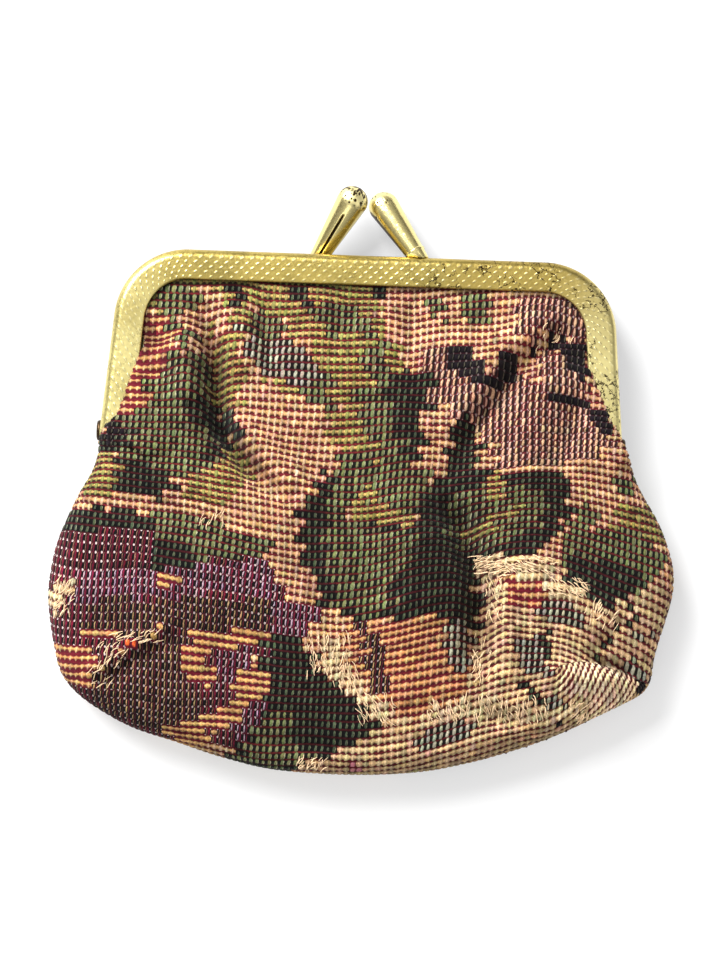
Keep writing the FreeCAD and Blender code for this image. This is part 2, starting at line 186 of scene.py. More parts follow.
class ArchPath:
    """The frame's outer outline from the left arm's foot, over the bar, to the right arm's foot."""

    def __init__(self, foot_y):
        radius = CORNER_RADIUS
        self.corner_y = FRAME_TOP - radius
        touch_y = self.corner_y + radius * math.sin(LEAN)
        self.corner_x = arm_x(touch_y) - radius * math.cos(LEAN)
        self.arm = (touch_y - foot_y) / math.cos(LEAN)
        self.arc = radius * (math.pi / 2 - LEAN)
        self.bar = 2 * self.corner_x
        self.length = 2 * (self.arm + self.arc) + self.bar
        self.foot_y = foot_y

    def at(self, s, inset):
        """Point at distance s along the outline, moved inwards by inset."""
        s = np.asarray(s, float)
        mirrored = s > self.length / 2
        t = np.where(mirrored, self.length - s, s)
        on_arm = t < self.arm
        on_arc = (t >= self.arm) & (t < self.arm + self.arc)
        arm_px = arm_x(self.foot_y) - t * math.sin(LEAN) - inset * math.cos(LEAN)
        arm_py = self.foot_y + t * math.cos(LEAN) - inset * math.sin(LEAN)
        angle = LEAN + (t - self.arm) / CORNER_RADIUS
        arc_px = self.corner_x + (CORNER_RADIUS - inset) * np.cos(angle)
        arc_py = self.corner_y + (CORNER_RADIUS - inset) * np.sin(angle)
        bar_px = self.corner_x - (t - self.arm - self.arc)
        x = np.where(on_arm, arm_px, np.where(on_arc, arc_px, bar_px))
        y = np.where(on_arm, arm_py, np.where(on_arc, arc_py, FRAME_TOP - inset))
        return np.where(mirrored, x, -x), y

    def bar_share(self, s):
        """0 on the arms and 1 on the bar, changing round the corners."""
        t = np.minimum(s, self.length - s)
        return smoothstep(self.arm, self.arm + self.arc, t)


# ---- Embossed frame halves -----------------------------------------------------------------------

DASH_PITCH = 1.68
DASH_ROW = 0.8
DASH_HALF_LENGTH = 0.4
DASH_HALF_WIDTH = 0.14
DASH_HEIGHT = 0.1
DASH_SLANT = math.radians(32)
FIRST_DASH_ROW = 1.2
LAST_DASH_ROW = 4.7

FLANGE_REACH = 4.2
FLANGE_BEND = 0.25
EDGE_BEVEL = 0.07
WALL_STEPS = 3
ROUND_STEPS = 8
ROUND_STEPS_PLAIN = 5
FACE_STEPS = 34
FRAME_STATIONS = 1150
DENT_HEIGHT = 0.06
CROWN_HEIGHT = 0.12
BACK_EDGE_SHOWS = 0.16
BACK_EDGE_HALF_LENGTH = 7.0


def dash_height(s, inset):
    """Height of the embossed dashes over the sheet, by distance along the strip and inset from its edge."""
    height = np.zeros_like(s)
    rows = np.arange(FIRST_DASH_ROW, LAST_DASH_ROW, DASH_ROW)
    for count, row in enumerate(rows):
        shift = DASH_PITCH / 2 if count % 2 else 0
        along = (s - shift + DASH_PITCH / 2) % DASH_PITCH - DASH_PITCH / 2
        aside = inset - row
        p = along * math.cos(DASH_SLANT) - aside * math.sin(DASH_SLANT)
        q = along * math.sin(DASH_SLANT) + aside * math.cos(DASH_SLANT)
        inside = 1 - (p / DASH_HALF_LENGTH) ** 2 - (q / DASH_HALF_WIDTH) ** 2
        height = np.maximum(height, DASH_HEIGHT * np.sqrt(np.clip(inside, 0, 1)))
    return height


def channel_profile():
    """Section of a half, as (inset, height over the closing plane, share of the face's width, embossed)."""
    depth = FACE_Z - HINGE_Z
    gap = HALF_GAP
    profile = [(FLANGE_REACH, gap + SHEET, 0, 0), (FLANGE_REACH, gap, 0, 0)]
    profile += [(inset, gap, 0, 0) for inset in (3.0, 1.5, FLANGE_BEND)]
    profile.append((0.0, gap + FLANGE_BEND, 0, 0))
    for i in range(1, WALL_STEPS + 1):
        profile.append((0.0, mix(gap + FLANGE_BEND, depth - FACE_EDGE_RADIUS, i / WALL_STEPS), 0, 0))
    for i in range(1, ROUND_STEPS + 1):
        angle = math.pi / 2 * i / ROUND_STEPS
        inset = FACE_EDGE_RADIUS * (1 - math.cos(angle))
        height = depth - FACE_EDGE_RADIUS * (1 - math.sin(angle))
        profile.append((inset, height, 0, 1 if i > ROUND_STEPS_PLAIN else 0))
    for i in range(1, FACE_STEPS + 1):
        profile.append((mix(FACE_EDGE_RADIUS, ARM_FACE - 0.25, i / FACE_STEPS), depth, 1, 1))
    bevel = ARM_FACE - EDGE_BEVEL
    profile += [(bevel, depth - EDGE_BEVEL, 1, 0), (ARM_FACE, depth - SHEET / 2, 1, 0)]
    profile += [(bevel, depth - SHEET + EDGE_BEVEL, 1, 0), (ARM_FACE - 0.3, depth - SHEET, 1, 0)]
    profile += [(inset, depth - SHEET, 1, 0) for inset in (3.5, 2.0)]
    profile += [(SHEET + 0.4, depth - SHEET, 0, 0), (SHEET, depth - SHEET - 0.5, 0, 0)]
    profile += [(SHEET, gap + SHEET + 0.3, 0, 0), (SHEET + 0.4, gap + SHEET, 0, 0), (2.0, gap + SHEET, 0, 0)]
    return np.array(profile)


def ear_mesh(side, hand, first):
    """The tab that carries the hinge on one arm, as points and faces numbered from first."""
    outside = EAR_OUTSIDE[side]
    outline = [(HALF_GAP + EAR_IN_FLANGE, EAR_TOP), (HALF_GAP + EAR_IN_FLANGE, EAR_RADIUS)]
    for angle in np.linspace(math.pi / 2, 2 * math.pi, EAR_STEPS + 1)[1:]:
        outline.append((EAR_RADIUS * math.cos(angle), EAR_RADIUS * math.sin(angle)))
    outline.append((EAR_RADIUS, EAR_TOP))
    points = []
    for x in (outside - SHEET, outside):
        for z, y in outline:
            points.append((hand * (x - max(0.0, y) * math.tan(LEAN)), y, HINGE_Z + side * z))
    faces = closed_tube(2, len(outline))
    if hand * side < 0:
        faces = flipped(faces)
    return points, [[first + corner for corner in face] for face in faces]


def frame_half(name, side):
    """One half of the frame as a closed strip with its ears: side is 1 for the front and -1 for the back."""
    path = ArchPath(ARM_END)
    inset, depth, face_share, embossed = channel_profile().T[:, None, :]
    stations = np.linspace(0, path.length, FRAME_STATIONS)
    s = np.repeat(stations[:, None], inset.size, 1)
    bar = path.bar_share(s)
    across_face = smoothstep(FACE_EDGE_RADIUS, ARM_FACE, inset) * face_share
    on_outside = inset < 1
    inset = inset * (1 + (BAR_FACE / ARM_FACE - 1) * bar * across_face)
    if side < 0:
        middle = (s - path.length / 2) / BACK_EDGE_HALF_LENGTH
        inset = inset - BACK_EDGE_SHOWS * np.exp(-(middle**4)) * on_outside
    x, y = path.at(s, inset)
    raised = dash_height(s, inset) * embossed * smoothstep(0, 0.5, ARM_FACE - inset - 0.2)
    worn = 0.75 + 0.35 * np.sin(s * 0.23 + 0.6) * np.sin(s * 0.071)
    dents = DENT_HEIGHT * np.sin(s * 0.31 + 1.0) * np.sin(s * 0.13) * embossed
    crown = CROWN_HEIGHT * np.sin(np.pi * np.clip(inset / ARM_FACE, 0, 1)) * embossed
    z = HINGE_Z + side * (depth + raised * worn + dents + crown)
    points = np.stack([x, y, z], -1).reshape(-1, 3).tolist()
    faces = closed_tube(*s.shape)
    if side > 0:
        faces = flipped(faces)
    strip_faces = len(faces)
    for hand in (1, -1):
        ear_points, ear_faces = ear_mesh(side, hand, len(points))
        points += ear_points
        faces += ear_faces
    piece = new_mesh(name, points, faces)
    piece.data.polygons.foreach_set("use_smooth", np.arange(len(faces)) < strip_faces)
    spare = len(points) - s.size
    right = smoothstep(4, 26, x) * mix(smoothstep(14, 20, y), 1.0, 0.45)
    # How much of the lighter arm colour each point takes: a painted highlight on the arms, less on the left
    # arm
    arm_share = (1 - bar) * mix(1.0, 0.7, smoothstep(0, -20, x))
    for attribute, values, on_ears in (
        ("arm_share", arm_share, 1.0),
        ("wear_and_shade", np.clip(0.36 + right, 0, 1), 0.0),
        ("raised", raised / DASH_HEIGHT, 0.0),
    ):
        write_grey(piece, attribute, np.concatenate([values.ravel(), np.full(spare, on_ears)]))
    return piece


# ---- Snap knobs ----------------------------------------------------------------------------------

KNOB_FOOT_RADIUS = 1.5
KNOB_CROSSING = 1.3
KNOB_FOOT_INSET = 1.85
KNOB_BASE_X = {-1: 7.9, 1: 8.3}
KNOB_TIP = {-1: (2.85, 38.85), 1: (2.4, 38.3)}
KNOB_TIP_RADIUS = {-1: 2.55, 1: 2.5}
KNOB_RINGS = 54
KNOB_END_RINGS = 26
KNOB_AROUND = 144
KNOB_START = {-1: -0.04, 1: 0.11}
KNOB_COLLAR = {-1: [], 1: [(0.7, 1.56), (0.85, 1.72), (1.05, 1.76), (1.25, 1.7), (1.36, 1.56)]}
SEAM_HALF_WIDTH = 0.17
SEAM_DEPTH = 0.42
PIT_COUNT = 300
PIT_DEPTH = 0.1
PIT_START = {-1: 0.92, 1: 0.25}
PIT_END = 1.3
PIT_SIZE = (0.05, 0.2)
KNOB_OVER_BAR = 0.03
# The section of a knob's foot, as (distance along its axis, radius)
KNOB_FOOT = [(-1.1, 0.9), (-1.0, 1.25), (-0.75, 1.42)]
# How dark the painted shade is under a knob and along its sides, and how dark its pitted end is
UNDERSIDE_SHADE = 0.55
SIDE_SHADE = {-1: 0.24, 1: 0.33}
GRIME_END = {-1: 0.16, 1: 0.0}


def knob_mesh(name, side):
    """A rolled hollow cone with a round pitted end: its seam faces up on the back half's knob."""
    foot = np.array([side * KNOB_BASE_X[side], FRAME_TOP, HINGE_Z + side * (HALF_GAP + KNOB_FOOT_INSET)])
    tip = np.array([side * KNOB_TIP[side][0], KNOB_TIP[side][1], HINGE_Z - side * KNOB_CROSSING])
    axis = tip - foot
    length = np.linalg.norm(axis)
    axis /= length
    up = np.array([0, 0, 1.0]) - axis * axis[2]
    up /= np.linalg.norm(up)
    right = np.cross(axis, up)
    radius = KNOB_TIP_RADIUS[side]
    flare = math.asin((radius - KNOB_FOOT_RADIUS) / length)
    profile = KNOB_FOOT + KNOB_COLLAR[side]
    for t in np.linspace(KNOB_START[side], 0.995, KNOB_RINGS):
        profile.append((t * length, mix(KNOB_FOOT_RADIUS, radius, t) / math.cos(flare)))
    for angle in np.linspace(flare * 0.6, math.pi / 2 - 0.04, KNOB_END_RINGS):
        profile.append((length + radius * math.sin(angle), radius * math.cos(angle)))
    t = np.array(profile)[:, None, 0]
    r = np.array(profile)[:, None, 1]
    turn = np.linspace(0, 2 * math.pi, KNOB_AROUND, endpoint=False)[None, :]
    share = t / length
    seam = np.exp(-((np.sin(turn / 2) * 2 * r / SEAM_HALF_WIDTH) ** 4)) * smoothstep(-0.02, 0.05, share)
    seam = seam * smoothstep(0.84, 0.72, share) * (side < 0)
    end = smoothstep(0.93, 1.12, share) if side < 0 else 0.45 * smoothstep(0.8, 1.1, share)
    speckle = np.zeros((t.size, turn.size))
    for _ in range(PIT_COUNT):
        at = random.uniform(PIT_START[side], PIT_END)
        around = random.uniform(0, 2 * math.pi)
        size = random.uniform(*PIT_SIZE)
        gap = np.hypot((share - at) * length, np.sin((turn - around) / 2) * 2 * r)
        speckle = np.maximum(speckle, smoothstep(size * 1.5, size * 0.5, gap) * random.uniform(0.3, 1))
    pits = speckle * np.clip(end * 1.5 + (0.25 if side > 0 else 0), 0, 1)
    shrunk = r - SEAM_DEPTH * seam - PIT_DEPTH * pits
    outward = right * np.sin(turn)[..., None] + up * np.cos(turn)[..., None]
    # Painted shade: the side of a knob that faces down the purse, mostly on the front knob, and the sides
    # that face sideways are darkened; the pits and the back knob's darker end are its own colour
    under = smoothstep(0.26, 0.44, -outward[..., 1]) * smoothstep(1.15, 0.9, share)
    under = under * (1.0 if side > 0 else 0.3)
    side_on = smoothstep(0.45, 0.0, np.abs(outward[..., 2]))
    darkening = pits + UNDERSIDE_SHADE * under + (SIDE_SHADE[side] * side_on + GRIME_END[side] * end)
    points = foot + axis * t[..., None] + shrunk[..., None] * outward
    points[..., 1] = np.maximum(points[..., 1], FRAME_TOP + KNOB_OVER_BAR)
    piece = new_mesh(name, points.reshape(-1, 3), flipped(closed_tube(t.size, turn.size)))
    # The seam is darkened too, as painted shade in the slit
    write_grey(piece, "wear_and_shade", np.clip(darkening + seam * 1.5, 0, 1).ravel())
    write_grey(piece, "raised", np.repeat(end * 0.6, turn.size))
    write_grey(piece, "arm_share", np.ones(t.size * turn.size))
    return piece


# ---- Cloth outline and macro shape ---------------------------------------------------------------

# The pouch's edge seen from the front, from the arm's inner edge to the bottom's middle. It has a left and a
# right list, because a soft pouch isn't symmetric.
RIGHT_EDGE = [
    (36.3, 15), (37.6, 11), (39, 8), (40.3, 5), (42, 2.2), (43.5, -0.9), (45.4, -6), (49, -12),
    (51.2, -17.6), (51.8, -21.8), (51.1, -26), (50, -30), (49, -34), (48.6, -37.4), (47.3, -39.6),
    (44.6, -41.3), (41.6, -42.9), (38.7, -44.4), (35.6, -46), (31, -48.1), (25.5, -50.1), (19, -52.1),
    (11, -53.8), (0, -54.6),
]
LEFT_EDGE = [
    (-35.9, 15), (-36.7, 12), (-37.9, 8.6), (-39, 5), (-40, 2.5), (-41.5, 0.9), (-42.5, -1.2), (-42.7, -3.6),
    (-43.5, -6.6), (-46, -11.4), (-48.6, -17.8), (-49.6, -22.2), (-50, -26.7), (-49.6, -31), (-48.6, -36),
    (-47.4, -39.8), (-44.9, -42.8), (-40.8, -45.6), (-35.2, -48.3), (-28.6, -50.2), (-20.8, -52.5),
    (-12, -54.2),
]
CHANNEL_INSET = 3.2


def smooth_closed(points, per_span=8):
    """A closed Catmull-Rom curve through points."""
    p = np.array(points, float)
    before, after, after2 = np.roll(p, 1, 0), np.roll(p, -1, 0), np.roll(p, -2, 0)
    t = (np.arange(per_span) / per_span)[None, :, None]
    a, b, c, d = before[:, None], p[:, None], after[:, None], after2[:, None]
    curve = 0.5 * (
        2 * b + (c - a) * t + (2 * a - 5 * b + 4 * c - d) * t**2 + (3 * b - a - 3 * c + d) * t**3
    )
    return curve.reshape(-1, 2)


def cloth_outline():
    """Closed outline of a panel: round the pouch and along the inside of the channel."""
    path = ArchPath(15.5)
    stations = np.linspace(3.5, path.length - 3.5, 26)
    x, y = path.at(stations, CHANNEL_INSET)
    channel = list(zip(x, y))
    return smooth_closed(channel + RIGHT_EDGE + LEFT_EDGE[::-1])


OUTLINE = cloth_outline()


def outline_distance(x, y):
    """Signed distance to the panel's outline, positive inside, and the nearest outline point."""
    a = OUTLINE
    b = np.roll(OUTLINE, -1, 0)
    best = np.full(x.size, 1e9)
    near = np.zeros((x.size, 2))
    px, py = x.ravel(), y.ravel()
    inside = np.zeros(x.size, bool)
    for (ax, ay), (bx, by) in zip(a, b):
        dx, dy = bx - ax, by - ay
        t = np.clip(((px - ax) * dx + (py - ay) * dy) / (dx * dx + dy * dy), 0, 1)
        qx, qy = ax + t * dx, ay + t * dy
        d = np.hypot(px - qx, py - qy)
        closer = d < best
        best[closer] = d[closer]
        near[closer, 0] = qx[closer]
        near[closer, 1] = qy[closer]
        if ay != by:
            crosses = ((ay > py) != (by > py)) & (px < (bx - ax) * (py - ay) / (by - ay) + ax)
            inside ^= crosses
    signed = np.where(inside, best, -best).reshape(x.shape)
    return signed, near.reshape(*x.shape, 2)


# How far each row of the weave stands above its height at x = -8, on a 12 mm grid of x and row
DRIFT_CORNER = (-60.0, -72.0)
DRIFT_STEP = 12.0
ROW_DRIFT = np.array([
    # x = -60  -48  -36  -24  -12    0   12   24    36    48    60
    [6.0, 6.0, 4.5, 2.5, 0.8, 1.5, 4.5, 9.0, 14.0, 15.0, 15.0],      # row at -72
    [5.0, 4.6, 3.6, 2.0, 0.5, 1.2, 3.6, 8.0, 12.5, 11.0, 10.0],      # -60
    [3.6, 3.4, 2.8, 1.4, 0.3, 1.0, 3.0, 7.0, 10.5, 6.0, 3.0],        # -48
    [3.2, 3.0, 2.4, 1.5, 0.4, 1.4, 4.2, 6.5, 5.4, -0.5, -5.0],       # -36
    [5.0, 4.8, 4.2, 3.2, 0.9, 1.2, 3.6, 5.8, 5.6, 0.0, -4.0],        # -24
    [5.0, 4.6, 4.2, 3.2, 0.8, 0.7, 2.2, 4.6, 6.0, 4.2, 2.0],         # -12
    [1.8, 1.6, 1.3, 0.6, 0.1, 0.3, 1.0, 1.2, 1.3, 1.0, 0.6],         # 0
    [2.0, 1.8, 1.6, 0.9, 0.2, 0.3, 1.4, 2.2, 1.8, 0.6, 0.0],         # 12
    [2.6, 2.6, 2.5, 1.6, 0.3, 0.2, 1.2, 2.4, 3.6, 3.6, 3.6],         # 24
    [2.6, 2.6, 2.5, 1.6, 0.3, 0.2, 1.2, 2.4, 3.6, 3.6, 3.6],         # 36
])


def spline_weights(t):
    """Shares of four neighbouring controls on a uniform cubic B-spline."""
    return [
        (1 - t) ** 3 / 6,
        (3 * t**3 - 6 * t**2 + 4) / 6,
        (-3 * t**3 + 3 * t**2 + 3 * t + 1) / 6,
        t**3 / 6,
    ]


def table_value(table, corner, step, x, y):
    """A smooth surface through a grid of controls whose first one stands at corner."""
    gx = np.clip((x - corner[0]) / step, 0, table.shape[1] - 1.001)
    gy = np.clip((y - corner[1]) / step, 0, table.shape[0] - 1.001)
    ix, iy = np.floor(gx).astype(int), np.floor(gy).astype(int)
    value = np.zeros_like(gx)
    for row, weight_y in zip(range(-1, 3), spline_weights(gy - iy)):
        for column, weight_x in zip(range(-1, 3), spline_weights(gx - ix)):
            row_index = np.clip(iy + row, 0, table.shape[0] - 1)
            column_index = np.clip(ix + column, 0, table.shape[1] - 1)
            value += weight_y * weight_x * table[row_index, column_index]
    return value


def drift(x, v):
    """How far row v of the weave stands above its flat place at x."""
    return table_value(ROW_DRIFT, DRIFT_CORNER, DRIFT_STEP, x, v)


RUMPLE_CORNER = (-70.0, -80.0)
RUMPLE_WIDTH = 150
RUMPLE_HEIGHT = 130


def rumple(step, amount, seed):
    """A smooth random surface over the panel, as a function of x and y."""
    shape = (int(RUMPLE_HEIGHT / step), int(RUMPLE_WIDTH / step))
    controls = np.random.default_rng(seed).normal(0, amount, shape)
    return lambda x, y: table_value(controls, RUMPLE_CORNER, step, x, y)


# The pleat at the bottom right corner. Rows under it turn round its tip and come back up to it as a fan. Rows
# over it bend down to it.
PLEAT_TIP = (32.8, -36.2)
PLEAT_RISE = 0.52
PLEAT_BEND = 0.0415
FAN_SPREAD = 0.35
FAN_CLOSE = 0.95
PLEAT_LAP = 0.5
FAN_END = 2.1
SMALLEST_TURN = 0.5
# Rows over the pleat bend down to it: a wide bend and a tight one, each with its amount and its reach upwards
WIDE_BEND = (0.34, 7)
TIGHT_BEND = (1.1, 1.8)


def soft_positive(value, softness):
    """The value where it is positive and 0 where it is negative, with a soft change between them."""
    return 0.5 * (value + np.sqrt(value**2 + softness**2))


def pleat_line(x):
    """Height of the pleat's edge at x, from its tip to the seam."""
    past = np.clip(x - PLEAT_TIP[0], 0, None)
    return PLEAT_TIP[1] + PLEAT_RISE * past - PLEAT_BEND * past**2


def pleat_row():
    """The row of the flat cloth that ends at the pleat's tip."""
    v = PLEAT_TIP[1]
    for _ in range(30):
        v = PLEAT_TIP[1] - float(drift(np.array([PLEAT_TIP[0]]), np.array([v]))[0])
    return v


PLEAT_ROW = pleat_row()
ROW_WANDER = rumple(7.0, 0.8, 6)
COLUMN_WANDER = rumple(7.0, 0.45, 7)


def panel_plan(u, v):
    """Where flat cloth lies before its edge is turned down, and which of it is hidden in the pleat."""
    tip_x, tip_y = PLEAT_TIP
    u, v = u + COLUMN_WANDER(u, v), v + ROW_WANDER(u, v)
    above = np.clip(v - PLEAT_ROW, 0, None)
    upper = v + drift(u, v)
    upper = upper - WIDE_BEND[0] * soft_positive(u - tip_x - 1.0, 1.2) * np.exp(-above / WIDE_BEND[1])
    beyond = soft_positive(u - tip_x - 0.75 * above, 0.6)
    upper = upper - TIGHT_BEND[0] * beyond * np.exp(-above / TIGHT_BEND[1])
    depth = np.clip(tip_y - v - drift(np.full_like(u, tip_x), v), SMALLEST_TURN, None)
    past = soft_positive(u - tip_x + FAN_SPREAD * depth, 0.8)
    held = u - past
    row_y = v + drift(held, v)
    radius = depth * (1 + FAN_SPREAD)
    turn = np.clip(past / radius, 0, FAN_END)
    closed = radius * mix(1.0, FAN_CLOSE, smoothstep(0.0, 1.4, turn))
    is_low = v < PLEAT_ROW
    x = np.where(is_low, held + closed * np.sin(turn), u)
    y = np.where(is_low, row_y + radius - closed * np.cos(turn), upper)
    line = pleat_line(x)
    past_line = (x > tip_x) * np.where(is_low, y - line, line - y)
    hidden = (past_line > PLEAT_LAP) | (is_low & (turn >= FAN_END))
    return x, np.where(past_line > 0, line, y), hidden


# Folds of the front panel: (points of the crest or valley, height, half width)
FRONT_FOLDS = [
    ([(-26.5, 20), (-24.6, 13), (-23.8, 6), (-22.5, 0.5), (-18, -5), (-12, -10)], -2.8, 1.9),
    ([(-30.5, 17.5), (-29, 11), (-28, 4)], 2.3, 3),
    ([(-36.4, 16.6), (-33, 15.4), (-30, 15.6)], -0.7, 1),
    ([(-36.8, 13.6), (-33, 12.6), (-30.5, 13)], 0.7, 1.2),
    ([(-37.4, 10.6), (-34, 9.6), (-31, 10)], -0.6, 1),
    ([(-20.5, 2.6), (-15, -3.6), (-9, -8.6)], 1.3, 2.8),
    ([(-21, 22), (-19.5, 15), (-18.5, 8)], 0.7, 2.4),
    ([(-17, 24), (-16, 16), (-14, 9)], -0.8, 1.8),
    ([(-9, 23), (-9, 14)], 0.5, 3),
    ([(-3, 24), (-3.5, 15)], -0.5, 2),
    ([(3, 22), (2, 12)], 0.5, 2.6),
    ([(8.5, 24), (7, 17), (8, 10)], -0.6, 1.8),
    ([(37.5, 19.5), (31, 17.5), (25.5, 13), (22.5, 8.5), (18.5, 3), (15.5, -4)], -1.5, 1.9),
    ([(34, 22), (28, 20.6), (22.5, 16), (18.5, 9), (14, 3)], 1.2, 2.5),
    ([(35, 14), (29.5, 9), (27.5, 2), (27, -5)], 1.2, 3.4),
    ([(38.5, 9), (34, 4), (33, -3)], -0.7, 2),
    ([(13, -8), (17.2, -14), (20, -22), (20.4, -30), (20, -38)], -3.2, 2.9),
    ([(7, -12), (9, -20), (9, -30)], 1.3, 5),
    ([(23.4, -23), (24.4, -29), (24.6, -36)], 1.3, 2.2),
    ([(23, -17.6), (30, -21), (37, -26), (45, -31)], 1.2, 3.4),
    ([(33, -37.4), (38, -37.6), (43.5, -39.4)], 1.7, 2.2),
    ([(38.6, -34.4), (42.5, -35.2), (48.5, -38.2)], -1.9, 0.9),
    ([(19, -43), (27, -45), (35, -45)], -1.2, 2),
    ([(44, -26), (41, -31.5), (37, -34)], -0.6, 1.3),
    ([(-47, -12), (-36, -12.4), (-24, -14), (-12, -18)], -0.6, 2.4),
    ([(-9, -14), (-7, -22), (-2, -30), (2, -38)], -0.7, 2.8),
    ([(-34, -22), (-28, -30), (-27, -40)], 0.7, 7),
    ([(-45, -41), (-38, -35.4), (-29, -30.4)], 0.6, 1.4),
    ([(-43.4, -42.6), (-36, -37.4), (-28, -32.8)], -0.8, 1.5),
    ([(-44, -6), (-38, -4), (-33, 0)], 0.6, 3),
    ([(-46, -20), (-40, -24), (-37, -32)], -0.5, 3),
    ([(-20, -51), (-10, -50), (2, -50.5)], -0.5, 1.8),
]

FOLD_STRENGTH = 1.3
FOLD_PULL = 0.4


def fold_field(x, y, folds):
    """Sum of soft ridges and valleys along polylines, fading at their ends."""
    total = np.zeros_like(x)
    for points, height, half_width in folds:
        p = np.array(points, float)
        lengths = np.hypot(*np.diff(p, axis=0).T)
        starts = np.concatenate([[0], np.cumsum(lengths)])
        best = np.full(x.shape, 1e9)
        along = np.zeros_like(x)
        for (ax, ay), (bx, by), start, length in zip(p[:-1], p[1:], starts, lengths):
            t = np.clip(((x - ax) * (bx - ax) + (y - ay) * (by - ay)) / length**2, 0, 1)
            d = np.hypot(x - ax - t * (bx - ax), y - ay - t * (by - ay))
            closer = d < best
            best = np.where(closer, d, best)
            along = np.where(closer, start + t * length, along)
        share = along / starts[-1]
        taper = smoothstep(-0.05, 0.25, share) * smoothstep(1.05, 0.75, share)
        total += FOLD_STRENGTH * height * np.exp(-((best / half_width) ** 2)) * mix(0.35, 1.0, taper)
    return total


# Height of the front panel's middle by y
CREST_Y = [-60, -54, -46, -36, -22, -8, 0, 8, 18, 26, 32]
CREST_Z = [10.4, 10.8, 11.8, 12.6, 13.0, 12.2, 11.3, 10.6, 9.7, 8.8, 8.6]
# At the seam, beside the arms and in the channel: the height of the panel's edge, and the height and width of
# the rounded turn inside it
SEAM_EDGE = (4.9, 3.4, 3.2)
ARM_EDGE = (8.75, 0.9, 1.2)
CHANNEL_EDGE = (7.9, 0.3, 0.6)
# The edge's height follows the nearest outline point near the edge, and the cloth's own place further in
EDGE_REACH = (2, 12)
WIDE_DOME = 13.0
NARROW_DOME = 6.0


def edge_terms(y):
    """Height of the panel's edge, height and width of its rounded turn, and the channel's share, by y."""
    on_arm = smoothstep(-4.5, 0.5, y)
    in_channel = smoothstep(11.5, 15.0, y)
    places = zip(SEAM_EDGE, ARM_EDGE, CHANNEL_EDGE)
    return *(mix(mix(seam, arm, on_arm), channel, in_channel) for seam, arm, channel in places), in_channel


def front_height(x, y, distance):
    """Height of the front panel over its rounded turn."""
    edge_z, rise, turn, in_channel = edge_terms(y)
    crest = np.interp(y, CREST_Y, CREST_Z)
    reach = np.clip(distance - turn * 0.5 - 2.0 * in_channel, 0, None)
    spread = mix(WIDE_DOME, NARROW_DOME, smoothstep(-6, 12, y))
    dome = (crest - edge_z - rise) * (1 - np.exp(-reach / spread * 1.6))
    folds = fold_field(x, y, FRONT_FOLDS) * smoothstep(0.2, 4.0, reach)
    return dome + folds


# ---- Weave ---------------------------------------------------------------------------------------

CELL_U = 1.03
CELL_V = 1.27
SUB_U = 3
SUB_V = 4
RELIEF = 0.24
BETWEEN_COLUMNS = 0.55
LOWEST_ROW = -76.0
HIGHEST_ROW = 34.0
PANEL_REACH = 76.0
LINING_REACH = 66.0

# The colour and the size of a yarn that a weave doesn't have
NONE = (0, 0, 0, 0)


def with_alpha(red, green, blue, alpha):
    """A display colour as linear RGB, with another value in its alpha."""
    return (*srgb(red, green, blue)[:3], alpha)


def weave(thread, width, height, ground, line, line_strength, rib=NONE, second=NONE, dot=0.0, rim=0.0):
    """What one cell of a weave shows: an upright thread, the ground round it and the row line under it. It
    may also have a flat rib behind the thread and a second thread beside it, each with its size after its
    colour, a light dot on the row line, and a pale rim on one side of the thread, partly a paler yarn and
    partly a painted highlight.
    """
    return {
        "rib": with_alpha(*rib),
        "thread": with_alpha(*thread, width),
        "second": with_alpha(*second),
        "ground": with_alpha(*ground, height),
        "row_line": with_alpha(*line, line_strength),
        "extra": (dot, rim, 0.0, 1.0),
    }


